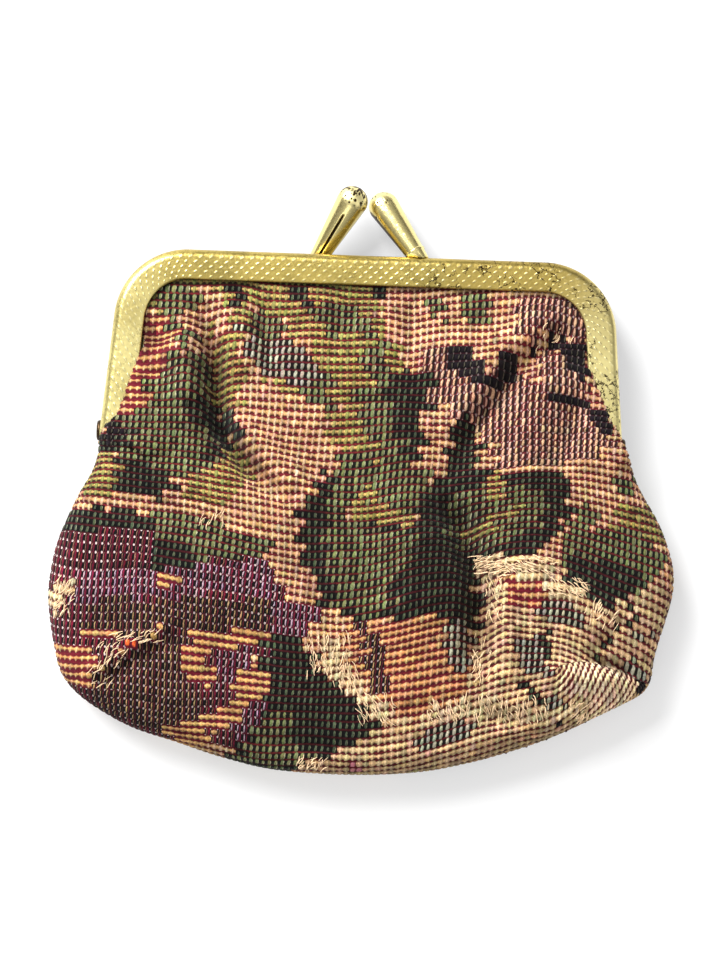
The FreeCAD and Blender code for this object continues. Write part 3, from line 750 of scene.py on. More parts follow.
STYLES = {
    "beige": weave((202, 164, 131), 0.42, 1, (76, 30, 28), (108, 26, 38), 0.9, rib=(196, 150, 101, 0.6)),
    "cream": weave((205, 174, 133), 0.46, 0.95, (70, 29, 29), (100, 27, 35), 0.9,
        rib=(195, 160, 116, 0.66)),
    "olive": weave((134, 130, 72), 0.5, 0.8, (46, 32, 22), (102, 28, 32), 0.9, rib=(190, 158, 92, 0.5)),
    "green": weave((108, 114, 72), 0.56, 0.88, (16, 16, 12), (92, 26, 28), 0.9, rim=0.8),
    "grey": weave((156, 152, 132), 0.52, 0.9, (20, 16, 14), (92, 28, 34), 0.9, rim=0.9),
    "dark": weave((65, 76, 55), 0.4, 0.76, (8, 8, 7), (64, 19, 23), 0.85, rim=0.5),
    "navy": weave((20, 13, 18), 0.84, 0.88, (6, 3, 6), (52, 16, 24), 0.5, dot=0.12, rim=0.15),
    "lilac": weave((164, 134, 146), 0.25, 0.98, (15, 10, 11), (92, 22, 40), 0.8, second=(96, 20, 42, 0.26),
        dot=0.6),
    "wine": weave((138, 92, 76), 0.17, 1.02, (13, 10, 11), (86, 20, 36), 0.75, second=(94, 18, 38, 0.3),
        dot=0.8),
    "dots": weave((148, 118, 82), 0.22, 0.9, (12, 11, 10), (64, 20, 28), 0.75, second=(74, 18, 30, 0.18),
        dot=0.5),
    "gold": weave((190, 142, 86), 0.3, 0.6, (92, 22, 36), (104, 24, 38), 1, rib=(204, 158, 100, 0.54)),
    "petal": weave((204, 160, 130), 0.38, 1, (84, 40, 36), (98, 28, 38), 0.9, second=(36, 22, 22, 0.36),
        dot=0.35),
    "rib": weave((204, 162, 116), 0.3, 0.7, (98, 24, 36), (104, 26, 38), 0.9, rib=(200, 148, 92, 0.44)),
    "peach": weave((188, 144, 102), 0.4, 0.8, (80, 24, 30), (100, 26, 34), 0.95, rib=(190, 132, 84, 0.54)),
    "pale": weave((250, 220, 182), 0.6, 0.76, (104, 46, 40), (100, 30, 36), 1, rib=(246, 212, 168, 0.6)),
    "orange": weave((226, 98, 44), 0.6, 0.6, (96, 24, 36), (106, 24, 38), 1),
    "pink": weave((190, 124, 132), 0.8, 0.8, (96, 24, 36), (106, 24, 38), 1),
    "frayed": weave((208, 186, 148), 0.46, 1.1, (92, 54, 40), (96, 44, 40), 0.6, rib=(192, 164, 122, 0.7)),
}

# The woven design of the front panel: each patch is a style and its outline, later patches over earlier ones
FRONT_DESIGN = [
    ("olive", [(-36, 27), (-36, 20), (-26, 17), (-22, 2), (-16, 8), (-4, 5), (2, -12), (6, 6), (6, 27)]),
    ("green", [(-35, 24.5), (-27.5, 24.5), (-27, 20.5), (-25, 19.5), (-26, 17.5), (-30, 16), (-33, 18.5)]),
    ("beige", [(-27.5, 24.5), (-24.5, 24.5), (-22.5, 19.5), (-17.5, 12.5), (-14, 10), (-18, 9), (-23, 15),
        (-26, 19.5)]),
    ("dark", [(-22.5, 24), (-20, 24), (-19.5, 21), (-21.5, 21)]),
    ("beige", [(-19, 21.5), (-14, 19.5), (-11, 16), (-8, 13), (-10, 12.5), (-15, 17), (-19, 19.5)]),
    ("green", [(-20, 20), (-16, 20.5), (-13, 17.5), (-14, 15.5), (-18, 15.5)]),
    ("grey", [(-21.5, 18.5), (-17, 16.5), (-13.5, 15.5), (-10, 14), (-7, 11), (-7.5, 8.5), (-12, 8.6),
        (-17, 10.2), (-20, 14)]),
    ("green", [(-9.5, 9.5), (-6, 10.5), (-4.5, 8), (-5, 4.5), (-8, 5)]),
    ("dark", [(-13, 25), (-10, 25), (-8.5, 21.5), (-11, 21.5)]),
    ("green", [(-9.5, 19.5), (-8, 21.8), (-4, 22.2), (0, 20.3), (0.8, 17.4), (-2.5, 17.2), (-5.5, 15.8),
        (-7, 18.2)]),
    ("dark", [(0.5, 25), (4, 25), (3, 23), (1, 23)]),
    ("green", [(0, 17.6), (2.6, 16.8), (2.6, 12.6), (4.6, 11), (4.2, 8.5), (4.4, 5.4), (-1, 5), (-1, 8),
        (1.5, 9.5), (-0.5, 11.5)]),
    ("beige", [(-23, 8), (-18, 9.5), (-9, 6.5), (-5.5, 4.2), (-5, 0), (-5.6, -4), (-7.5, -7.5), (-9.6, -13),
        (-9.4, -18), (-6, -24), (-3, -28.5), (1.5, -30), (-1, -36), (-7, -38), (-13, -31), (-6, -27.5),
        (-12, -24.5), (-16.5, -20), (-15, -15), (-30, -12), (-50, -14), (-47, -10.5), (-30, -10.5),
        (-19, -8), (-19, -3), (-22, 2)]),
    ("olive", [(-22.5, 0), (-19, -4), (-18.5, -8), (-21, -11), (-28, -11.5), (-28, -7)]),
    ("rib", [(-37, 19), (-33, 18.5), (-30, 14.5), (-30, 11), (-33.5, 7), (-35, 3.4), (-41, 2.6)]),
    ("beige", [(-32, 19), (-27.4, 20.4), (-25, 16.4), (-25, 12.5), (-27.5, 13), (-31.5, 13.8)]),
    ("olive", [(-25, 16), (-21.5, 16.5), (-19.4, 10.4), (-19, 4), (-22, 2), (-25, 8)]),
    ("dark", [(-22.8, 3.4), (-20, 3.8), (-19, 0.4), (-21, -1)]),
    ("green", [(-33, 18.8), (-29.5, 18.2), (-28, 14), (-30.5, 14.4), (-32, 16.5)]),
    ("green", [(-35, 8.5), (-32.5, 12.6), (-26, 13.4), (-24.6, 7), (-22, 1), (-22.6, -4), (-27.5, -6.8),
        (-33, -8), (-39, -5), (-42.5, -2), (-40.5, 1.8), (-35, 4)]),
    ("dark", [(-29, 5.5), (-25.5, 6.5), (-23, 3), (-21.5, 0), (-23.6, -4.6), (-25, -4), (-24.8, 0),
        (-27.5, 3)]),
    ("dark", [(-39.5, -4.6), (-32, -5.6), (-29.6, -8.8), (-33, -11), (-40, -9.4)]),
    ("dark", [(-43, 3), (-40, 2.6), (-38, -1), (-39.5, -3.4), (-43.5, -3)]),
    ("olive", [(-48, -4), (-42, -3.6), (-39, -6), (-40.5, -10.4), (-48, -10.4)]),
    ("dark", [(-49, -13), (-36.5, -12.2), (-33, -14.2), (-32.6, -16.6), (-40, -16), (-49, -18.4)]),
    ("beige", [(-42, -12.8), (-39, -12.6), (-40.5, -14)]),
    ("green", [(-33, -12.8), (-26, -13.4), (-16, -16), (-14, -17.6), (-15, -20.4), (-26, -21.4),
        (-33, -17)]),
    ("dark", [(-33, -17), (-27.5, -18), (-25, -22), (-29, -22.6), (-32.5, -22.4)]),
    ("wine", [(-51, -17.6), (-40, -16), (-33, -16.4), (-32.6, -22.6), (-25, -22), (-25, -20.4),
        (-15, -19.6), (-12.5, -24), (-6.4, -27.8), (-6, -32), (-13, -32), (-16, -36), (-17, -50),
        (-30, -51), (-52, -42)]),
    ("lilac", [(-32.5, -22.4), (-25.4, -21.4), (-15, -19.8), (-12.6, -24), (-6.4, -28), (-6, -32.2),
        (-11, -31.6), (-15, -26), (-24, -25), (-26, -27.4), (-33, -26.6), (-40, -29), (-46, -28),
        (-44, -23)]),
    ("dots", [(-40, -26.4), (-33, -27.4), (-26, -26.4), (-15, -26.4), (-12, -31.6), (-27, -31.4),
        (-36, -33.4), (-45, -33)]),
    ("gold", [(-32.6, -23.4), (-27, -22.8), (-26.6, -24.4), (-32.6, -25)]),
    ("frayed", [(-49, -25), (-45.6, -24.6), (-45.4, -27), (-47.5, -29), (-49.4, -31.6)]),
    ("gold", [(-45, -32.6), (-39.5, -32.4), (-39.5, -33.6), (-45, -33.8)]),
    ("dots", [(-38, -37), (-33, -33.4), (-27, -32), (-26.6, -38), (-24, -46.6), (-30, -49.4), (-40, -45.6),
        (-44, -41)]),
    ("rib", [(-50, -34.6), (-43, -35), (-41, -38), (-42.5, -42.6), (-48, -41)]),
    ("gold", [(-26.6, -31.8), (-14.4, -31.4), (-14, -33.6), (-16.4, -34), (-21, -34.4), (-23.4, -36.4),
        (-22.4, -41), (-27.4, -40.8), (-27.8, -34.2)]),
    ("gold", [(-14, -36.4), (-13, -42.8), (-17, -43.4), (-18, -46.4), (-18.4, -48.6), (-26.4, -48.2),
        (-27, -46.8), (-24, -45.8), (-20, -43), (-19.4, -39), (-18, -37)]),
    ("gold", [(-31, -48), (-26, -47.4), (-21, -49.4), (-25, -51), (-30, -50)]),
    ("lilac", [(-22.4, -35.4), (-16.4, -34.2), (-16.6, -37.2), (-19.4, -38.6), (-20.6, -42), (-22, -40.4)]),
    ("lilac", [(-18, -43.6), (-13.6, -42.8), (-14.4, -50), (-18.6, -49.6)]),
    ("dark", [(-14.4, -32), (-9, -31.8), (-5.8, -36.4), (-4.8, -39), (0.4, -41.4), (3, -44.6), (5, -47),
        (2, -49), (-3, -51), (-5, -53.6), (-12, -55), (-21, -53), (-18, -50), (-15, -46), (-13.2, -40),
        (-15.6, -37.6)]),
    ("green", [(-14.6, -44.8), (-9.6, -45), (-8.8, -49), (-5, -53), (-12, -54), (-19, -52.4), (-15, -49)]),
    ("green", [(-1, 7.4), (4, 7.4), (6, 2), (8, -2), (11, -4.6), (11.4, -9), (8, -12.4), (2, -10.4),
        (0.8, -4), (0, 2)]),
    ("dark", [(4, 11.2), (9.2, 11), (10.4, 7), (9.2, 2.6), (8, -2.6), (6, -2), (6, 5), (3.8, 8)]),
    ("dark", [(-5.6, -5), (-4, -9), (-1, -13), (4, -14), (9, -13), (11, -7), (14.4, -2.4), (15, 1.6),
        (18, 3.4), (18.4, -3), (22, -5), (33.4, -3.4), (34.2, -8), (33.4, -13), (29, -17), (24, -18.4),
        (20.6, -18.8), (20.4, -23), (20.6, -30.6), (15, -30), (13.6, -28.6), (4, -29), (0, -29.6),
        (-4, -27), (-9.4, -18), (-9.6, -12)]),
    ("green", [(-5, -8.6), (-1, -13), (5, -14.6), (9.4, -13.6), (9, -19), (5, -23), (7, -26), (2, -29.4),
        (-2, -27), (-5, -21)]),
    ("green", [(14, -10), (20, -5.8), (27, -6.6), (30.4, -8), (30.4, -12), (26, -15), (21, -17.4),
        (16.5, -17.4), (14.6, -14)]),
    ("olive", [(3, -9.6), (9, -12.6), (8, -14), (1, -13.4), (-1, -12)]),
    ("olive", [(17.4, -15.4), (22, -11), (26, -9.4), (26.4, -10.6), (22, -13.6), (19, -17)]),
    ("olive", [(20, -3.6), (23, -4), (23.4, -8.6), (21, -9.4)]),
    ("beige", [(3, 25), (2, 19.4), (5, 13.6), (9, 14), (12, 10), (10, 6), (8.6, 2), (9, -4.4), (12, -3.8),
        (16, -0.6), (16.6, 1.6), (18.4, 3.2), (18.6, -3.6), (22, -4.6), (30, -3), (34, -4), (34.6, -9),
        (33.6, -14), (36, -9), (40, -11), (48, -9), (45, -4), (43, 2), (37, 12), (36, 27)]),
    ("petal", [(9.4, 15.4), (13, 15.4), (17.6, 11), (24, 13), (27, 9), (29, 16.4), (34, 13), (36, 9.6),
        (41, 3), (38, -1), (33, -3), (22, -4), (19, 0), (14, 5), (9.8, 8.6)]),
    ("petal", [(24, 24.6), (35, 23), (36, 16), (33, 18), (29, 19), (25, 16), (24, 19)]),
    ("beige", [(9, 2), (14, 3), (20, 1.6), (20, -3.6), (16.6, -1), (12, -4), (8.8, -4)]),
    ("dark", [(15, 2), (17, 5), (19, 4), (18, -2.6), (14, -4.6), (13, -2.6)]),
    ("dark", [(3.8, 11.4), (10.8, 11.4), (12, 8.6), (11.2, 5.4), (9.6, 3), (8.4, -3), (6.2, -3), (5.4, 4),
        (3.6, 8)]),
    ("olive", [(-5, 4.6), (-0.8, 5.4), (0.4, 2), (1.6, -5), (3, -9), (-0.6, -12.4), (-3.4, -9), (-5, -3)]),
    ("green", [(-4.6, -2.6), (-0.6, -2), (1.2, -4.6), (0.4, -8.4), (-2.4, -11.4), (-4.6, -9)]),
    ("navy", [(13.6, 15.2), (17.4, 15.6), (18.6, 12.2), (19.4, 10.4), (21.6, 12.6), (22, 15.6),
        (24.8, 15.2), (25, 12.4), (22.6, 9.8), (18.8, 9.2), (15.6, 10.8), (13.6, 12.4)]),
    ("navy", [(26.4, 15), (28, 17), (31, 18.1), (34, 17), (36.2, 14.6), (35.8, 11.8), (34, 10.4),
        (33.2, 13), (31.6, 15.4), (29, 15.8), (27.4, 14.4)]),
    ("navy", [(31.6, 8.8), (35.4, 8.8), (38.4, 6.8), (41, 5.2), (41.4, 2.6), (38.8, 2.2), (37, 5.4),
        (34.4, 7), (31.6, 7.6)]),
    ("green", [(15, 22.6), (17, 24.6), (20.2, 24.4), (20, 18.8), (16.4, 19.2)]),
    ("green", [(9.6, 22), (12.6, 24), (13.6, 21.6), (11.6, 19.6)]),
    ("green", [(41, -4.8), (44.6, -4.2), (44, -7), (41, -6.8)]),
    ("olive", [(42, -9), (48, -9), (50.6, -15), (46, -14), (40, -14)]),
    ("green", [(35, -9.4), (38.4, -9), (38.8, -13.4), (44, -12.6), (48.6, -15), (50, -20), (46, -23),
        (40, -24), (35, -21.6), (32.6, -18.4), (34, -14)]),
    ("dark", [(33, -16.4), (38, -18), (44, -18.8), (47.6, -21.6), (45, -23.6), (41, -26.4), (37.6, -24.4),
        (35, -22)]),
    ("cream", [(20.2, -22), (20.4, -18.8), (30, -17.4), (33, -18.6), (37, -24.4), (41, -26.6), (46, -23.4),
        (50, -20.4), (53, -30), (48, -42), (30, -50), (0, -56), (-8, -53.6), (-4, -51.4), (6, -47),
        (3.4, -43), (10, -45.4), (18, -42), (19.4, -34), (20.4, -29)]),
    ("rib", [(24, -21.4), (28, -20), (31, -23), (30.6, -26), (25, -26)]),
    ("peach", [(0, -29.6), (4, -29.4), (14, -28), (16, -31), (19, -36.4), (17.6, -41.6), (10, -45.4),
        (5, -43.6), (3, -40), (-1.4, -36), (-0.6, -32)]),
    ("dots", [(1, -30), (3.6, -30), (4.6, -36), (5, -41), (3.4, -41), (1.6, -36)]),
    ("grey", [(31, -25.4), (36.4, -25), (38, -27.4), (36, -29.2), (33.4, -28.2), (31, -29)]),
    ("grey", [(25, -31.6), (30.4, -30.6), (31, -34.4), (32, -37.4), (28.6, -36.6), (26.4, -34.6)]),
    ("dark", [(30.4, -29.4), (31.2, -29.4), (31.4, -34.6), (30.6, -34.6)]),
    ("grey", [(42.6, -34.6), (45, -33.6), (47.4, -35), (47.6, -37), (44.6, -37.2), (42.8, -35.8)]),
    ("grey", [(46, -29.8), (48, -29.6), (48, -31.2), (46, -31.2)]),
    ("pale", [(33.6, -36.4), (37, -34.6), (43, -35), (47, -39), (44, -42), (38.4, -44.4), (36, -42),
        (34, -39)]),
    ("navy", [(45.4, -37.4), (48.4, -37), (47.6, -39.8), (45.8, -39)]),
    ("dark", [(46, -25), (46.8, -25.6), (42, -31), (40, -34), (39, -33.8), (41, -31)]),
    ("grey", [(14.4, -29), (17.6, -28.4), (19.4, -31), (18, -36), (15.6, -38), (14.6, -33)]),
    ("grey", [(10, -48.4), (16, -45), (20, -44.4), (19.6, -46.4), (13, -50.6), (10, -51)]),
    ("dark", [(26.4, -38.6), (28, -38.4), (30.6, -39.6), (34.4, -42), (33.8, -43.2), (30.4, -42.2),
        (29.6, -40.4)]),
    ("grey", [(30.6, -41.4), (33, -40.6), (35, -42.6), (33.6, -43.6)]),
    ("navy", [(28, -43.4), (31, -44.2), (34, -43.8), (34, -45.2), (29, -45.4)]),
    ("frayed", [(18, -19.6), (23, -17.8), (27, -19.4), (31, -19), (33, -21), (37, -24), (35, -25),
        (30.6, -24), (28, -21), (24, -21.4), (22.6, -24.6), (21.6, -23.4)]),
    ("frayed", [(13, -43), (18, -41.6), (24, -41), (30, -42.6), (36, -42), (37.6, -44), (30, -45.6),
        (22, -44.8), (14, -45.6)]),
    ("frayed", [(-5, -32), (-2, -32.6), (-1, -38), (4.4, -42.4), (6.4, -46.4), (4, -45), (0, -41.4),
        (-4.4, -38.4)]),
    ("frayed", [(36.4, -41), (38.4, -41), (39, -44.4), (36, -45)]),
    ("navy", [(-43, 1), (-40.8, 1.6), (-39.9, 0.4), (-41.6, -2.2), (-43, -2.2)]),
    ("gold", [(-44.4, -40.8), (-43.4, -41), (-38, -36.4), (-36, -34.6), (-37, -34.4), (-40, -36.4)]),
    ("gold", [(-36.6, -34.4), (-34.6, -33.8), (-29.6, -31.2), (-29.8, -30.4), (-33, -32)]),
    ("orange", [(-36.3, -33), (-35, -33), (-35, -34.3), (-36.3, -34.3)]),
    ("pink", [(0.8, -52.6), (2.2, -52.6), (2.2, -54), (0.8, -54)]),
]


def moved_design(design, shift_x, shift_y):
    """The same woven repeat on another cut of the cloth, mirrored in plan because it is seen from below."""
    return [(style, [(shift_x - x, y + shift_y) for x, y in points]) for style, points in design]


BACK_DESIGN = moved_design(FRONT_DESIGN, -62, 20) + moved_design(FRONT_DESIGN, 12, -9)


def inside_polygon(x, y, points):
    inside = np.zeros(x.shape, bool)
    for (ax, ay), (bx, by) in zip(points, points[1:] + points[:1]):
        if ay != by:
            inside ^= ((ay > y) != (by > y)) & (x < (bx - ax) * (y - ay) / (by - ay) + ax)
    return inside


# How dark the painted shade is in fold valleys, along the inside of the channel and towards the bottom edge
CREASE_SHADE = 0.45
HEM_SHADE = 0.6
BASE_SHADE = 0.3
# How far the design's outlines are off by row and by cell, and how much the cells differ
ROW_SHIFT = 0.75
CELL_SHIFT = 0.28
ROW_LIGHT = 0.09
CELL_LIGHT = 0.15
CELL_TINT = 0.06
CELL_WIDTH = 0.12
DOT_SHARE = 0.85


def paint_design(x, y, design):
    """Index of each cell's weave style. Rows are shifted a little, as woven outlines step from row to row."""
    names = list(STYLES)
    style = np.full(x.shape, names.index("beige"))
    ragged = x + random.normal(0, ROW_SHIFT, (x.shape[0], 1)) + random.normal(0, CELL_SHIFT, x.shape)
    for name, points in design:
        style[inside_polygon(ragged, y, points)] = names.index(name)
    return style


def lattice(u_reach):
    """Fine lattice of the cloth: column and row numbers, SUB_U and SUB_V steps a cell."""
    cells_u = math.ceil(u_reach / CELL_U)
    i = np.arange(-cells_u * SUB_U, cells_u * SUB_U + 1)
    j = np.arange(math.floor(LOWEST_ROW / CELL_V) * SUB_V, math.ceil(HIGHEST_ROW / CELL_V) * SUB_V + 1)
    return i, j


def turn_down(x, y):
    """Rolls the cloth over at the outline. Gives its plan position, its distance inside the outline, the
    height of the edge and of the turn over it, and how far inside the cut edge it lies.
    """
    distance, near = outline_distance(x, y)
    _, rise, turn, _ = edge_terms(near[..., 1])
    arc = math.pi / 2 * (rise + turn) / 2
    spare = arc - turn
    angle = np.clip((distance + spare) / arc, 0, 1) * math.pi / 2
    new_distance = np.where(distance < turn, turn * (1 - np.cos(angle)), distance)
    away_x, away_y = x - near[..., 0], y - near[..., 1]
    length = np.maximum(np.hypot(away_x, away_y), 1e-6) * np.where(distance < 0, -1, 1)
    keep_in = distance >= turn
    px = np.where(keep_in, x, near[..., 0] + away_x / length * new_distance)
    py = np.where(keep_in, y, near[..., 1] + away_y / length * new_distance)
    edge_z, rise, _, _ = edge_terms(mix(near[..., 1], py, smoothstep(*EDGE_REACH, new_distance)))
    return px, py, new_distance, edge_z, rise * np.sin(angle), distance + spare


def surface_normals(grid):
    normal = np.cross(np.gradient(grid, axis=1), np.gradient(grid, axis=0))
    length = np.linalg.norm(normal, axis=-1, keepdims=True)
    return normal / np.maximum(length, 1e-9)


SMALL_RUMPLE = rumple(4.5, 0.3, 3)
LARGE_RUMPLE = rumple(11.0, 0.45, 4)


def front_surface(u, v):
    """The front panel without its relief, and how far inside the cut edge each point lies."""
    x, y, hidden = panel_plan(u, v)
    y = y + FOLD_PULL * fold_field(x, y, FRONT_FOLDS)
    px, py, distance, edge_z, risen, material = turn_down(x, y)
    rumpled = (SMALL_RUMPLE(px, py) + LARGE_RUMPLE(px, py)) * smoothstep(0.5, 5, distance)
    z = edge_z + risen + front_height(px, py, distance) + rumpled
    return np.stack([px, py, z], -1), np.where(hidden, -1.0, material)


BACK_FLAT_Z = 0.35
BACK_DRIFT = 0.5
BACK_SWELL = 0.6
BACK_SOFTNESS = 0.3


def back_surface(u, v):
    """The back panel: the same outline, pressed flat where it lies."""
    x, y = u, v + drift(-u, v) * BACK_DRIFT
    px, py, distance, edge_z, risen, material = turn_down(x, y)
    depth = edge_z - HINGE_Z + risen + BACK_SWELL * front_height(px, py, distance)
    over = HINGE_Z - depth - BACK_FLAT_Z
    z = BACK_FLAT_Z + 0.5 * (over + np.sqrt(over**2 + BACK_SOFTNESS))
    return np.stack([px, py, z], -1), material


def whole_quads(alive):
    """Which quads of a grid have all four corners alive."""
    return alive[:-1, :-1] & alive[1:, :-1] & alive[:-1, 1:] & alive[1:, 1:]


def weave_relief(i, j):
    """Share of the relief at each lattice point: none on the row lines, and less between columns."""
    on_line = (j % SUB_V == 0)[:, None]
    between = (i % SUB_U == 0)[None, :]
    return np.where(on_line, 0.0, 1.0) * np.where(between, BETWEEN_COLUMNS, 1.0)


def make_panel(name, surface, design, folds, up):
    """A tapestry panel: woven relief on the macro surface, each cell's colours and painted shade on its
    faces.
    """
    i, j = lattice(PANEL_REACH)
    u, v = np.meshgrid(i / SUB_U * CELL_U, j / SUB_V * CELL_V)
    grid, material = surface(u, v)
    middle = (slice(SUB_V // 2, None, SUB_V), slice(SUB_U // 2, None, SUB_U))
    style = paint_design(grid[middle][..., 0], grid[middle][..., 1], design)
    relief = weave_relief(i, j)[..., None] * RELIEF
    grid = grid + surface_normals(grid) * up * relief
    cell_x, cell_y = grid[middle][..., 0], grid[middle][..., 1]
    keep = whole_quads(material > 0)
    piece = grid_mesh(name, grid, keep, up)
    rows, columns = np.nonzero(keep)
    # Painted shade: cells darken in the valleys of the folds, along the inside of the channel and towards the
    # pouch's bottom edge
    darkening = smoothstep(0.4, 3.0, -fold_field(cell_x, cell_y, folds))
    hem_shadow = smoothstep(3.0, 1.9, material[middle]) * smoothstep(11.0, 15.0, cell_y)
    bottom_edge_shade = smoothstep(7.0, 2.0, material[middle]) * smoothstep(-42.0, -46.0, cell_y)
    shade = (1 - CREASE_SHADE * darkening) * (1 - HEM_SHADE * hem_shadow) * (1 - BASE_SHADE * bottom_edge_shade)
    colour_cells(piece, style, shade, rows // SUB_V, columns // SUB_U)
    write_weave_uv(piece, u, v, rows, columns, up)
    return piece, keep.sum() * (CELL_U / SUB_U) * (CELL_V / SUB_V)


def write_weave_uv(piece, u, v, rows, columns, up):
    """UV map in cells, so that the material knows where in its cell a point lies."""
    corners = [(0, 0), (0, 1), (1, 1), (1, 0)]
    if up < 0:
        corners = [(0, 0), (1, 0), (1, 1), (0, 1)]
    cell_u = np.stack([u[rows + a, columns + b] for a, b in corners], -1) / CELL_U
    cell_v = np.stack([v[rows + a, columns + b] for a, b in corners], -1) / CELL_V
    layer = piece.data.uv_layers.new(name="weave")
    layer.data.foreach_set("uv", np.stack([cell_u, cell_v], -1).astype(np.float32).ravel())


def colour_cells(piece, style, shade, cell_row, cell_column):
    """Writes each cell's style and painted shade on its faces, every cell a little lighter, darker, wider or
    narrower.
    """
    light = random.normal(1.0, CELL_LIGHT, style.shape)
    light = light * random.normal(1.0, ROW_LIGHT, (style.shape[0], 1)) * shade
    tint = random.normal(1.0, CELL_TINT, (*style.shape, 3))
    width = random.normal(1.0, CELL_WIDTH, style.shape)
    for name in ("rib", "thread", "second", "ground", "row_line", "extra"):
        value = np.array([cell[name] for cell in STYLES.values()])[style]
        if name != "extra":
            value[..., :3] *= light[..., None] * tint
            value[..., 3] *= width
        else:
            value[..., 0] *= random.random(style.shape) < DOT_SHARE
        write_colour(piece, name, "FACE", np.clip(value[cell_row, cell_column], 0, 4))


# ---- Lining and loose threads --------------------------------------------------------------------

LINING_STEP = 0.8
LINING_DROP = 1.0
SAG_SHARE = 0.65
SAG_START = 1.5
SAG_REACH = 7.0
SAG_Y = -2.5


def coarse_grid(step):
    """Flat cloth coordinates on a plain grid."""
    return np.meshgrid(np.arange(-LINING_REACH, LINING_REACH, step), np.arange(LOWEST_ROW, HIGHEST_ROW, step))


def mouth_sag(y, z):
    """How much lower the front lining hangs along the hinge line, where the cloth folds in when it opens."""
    return SAG_SHARE * np.clip(z - HINGE_Z - SAG_START, 0, None) * np.exp(-(((y - SAG_Y) / SAG_REACH) ** 2))


def make_lining(name, surface, up):
    """Satin lining: the panel's surface on a coarser grid, moved into the pouch."""
    grid, material = surface(*coarse_grid(LINING_STEP))
    distance, _ = outline_distance(grid[..., 0], grid[..., 1])
    sag = mouth_sag(grid[..., 1], grid[..., 2]) if up > 0 else 0
    grid[..., 2] -= up * LINING_DROP + sag
    keep = whole_quads((material > 0) & (distance > mix(0.4, 0.1, smoothstep(-1.0, 3.0, grid[..., 1]))))
    piece = grid_mesh(name, grid, keep, up)
    return piece, keep.sum() * LINING_STEP**2


# Where the yarn is frayed: middle, half sizes, loose ends (times FRAY_AMOUNT) and their heading in degrees
FRAY_ZONES = [
    ((21.5, -19.6), (3.0, 1.6), 34, 20),
    ((28.5, -19.2), (4.0, 1.4), 34, -20),
    ((34.5, -22.6), (3.0, 1.4), 30, -35),
    ((22.4, -25.0), (1.2, 4.0), 18, 100),
    ((20.8, -35.0), (1.6, 4.0), 16, 80),
    ((40.0, -27.0), (3.0, 2.0), 12, 65),
    ((37.0, -43.0), (1.6, 1.6), 16, 60),
    ((25.0, -43.0), (7.0, 2.0), 42, 105),
    ((15.0, -43.5), (3.0, 1.6), 20, 110),
    ((-4.0, -35.0), (3.4, 3.4), 44, 95),
    ((4.0, -43.6), (3.0, 2.4), 26, 120),
    ((-1.0, -38.5), (2.0, 2.0), 14, 110),
    ((-47.4, -27.4), (1.4, 2.8), 22, 60),
    ((-35.5, -33.0), (4.0, 1.0), 14, 30),
    ((-39.0, -36.6), (2.4, 2.0), 12, 60),
    ((-6.0, -53.0), (2.6, 0.9), 14, 60),
    ((-23.5, -13.6), (2.0, 1.4), 8, 70),
    ((31.0, 18.0), (3.0, 2.4), 5, 70),
    ((-41.0, -39.5), (2.0, 2.0), 8, 50),
]
FRAY_AMOUNT = 1.8
HEADING_SPREAD = 16
STRAND_SIDES = 4
STRAND_STEPS = 5
STRAND_GRID = 0.5
STRAND_REST = 0.2
STRAND_LENGTH = (0.7, 2.0)
STRAND_BOW = 0.18
STRAND_RADIUS = (0.045, 0.095)
STRAND_LIFT = (0.1, 0.4)
HEIGHT_CELL = 1.0


def surface_height(grid, material):
    """A look-up of the panel's height by plan position."""
    points = grid[material > 0]
    heights = {}
    for key, z in zip(map(tuple, np.floor(points[:, :2] / HEIGHT_CELL).astype(int)), points[:, 2]):
        heights[key] = max(heights.get(key, 0), z)
    return lambda x, y: heights.get((math.floor(x / HEIGHT_CELL), math.floor(y / HEIGHT_CELL)))


def loose_threads():
    """Frayed yarn ends lying on the front panel, as thin curved tubes."""
    height = surface_height(*front_surface(*coarse_grid(STRAND_GRID)))
    quads = tube_quads(STRAND_STEPS, STRAND_SIDES)
    points, faces = [], []
    for (mx, my), (hx, hy), count, heading in FRAY_ZONES:
        for _ in range(int(count * FRAY_AMOUNT)):
            x = mx + random.uniform(-hx, hx)
            y = my + random.uniform(-hy, hy)
            z = height(x, y)
            if z is None:
                continue
            angle = math.radians(heading + random.normal(0, HEADING_SPREAD))
            length = random.uniform(*STRAND_LENGTH)
            bow = random.normal(0, STRAND_BOW)
            radius = random.uniform(*STRAND_RADIUS)
            lift = random.uniform(*STRAND_LIFT)
            faces += (quads + len(points)).tolist()
            for share in np.linspace(0, 1, STRAND_STEPS):
                turn = angle + bow * (share - 0.5) * 2
                px = x + math.cos(turn) * length * (share - 0.5)
                py = y + math.sin(turn) * length * (share - 0.5)
                under = height(px, py) or z
                pz = 0.5 * (under + z) + STRAND_REST + lift * math.sin(math.pi * share)
                thin = radius * (1 - 0.5 * abs(share - 0.4))
                for around in np.linspace(0, 2 * math.pi, STRAND_SIDES, endpoint=False):
                    side = thin * math.cos(around)
                    up = thin * math.sin(around)
                    points.append((px - math.sin(turn) * side, py + math.cos(turn) * side, pz + up))
    return new_mesh("loose_yarn_ends", points, faces)


# ---- Materials -----------------------------------------------------------------------------------


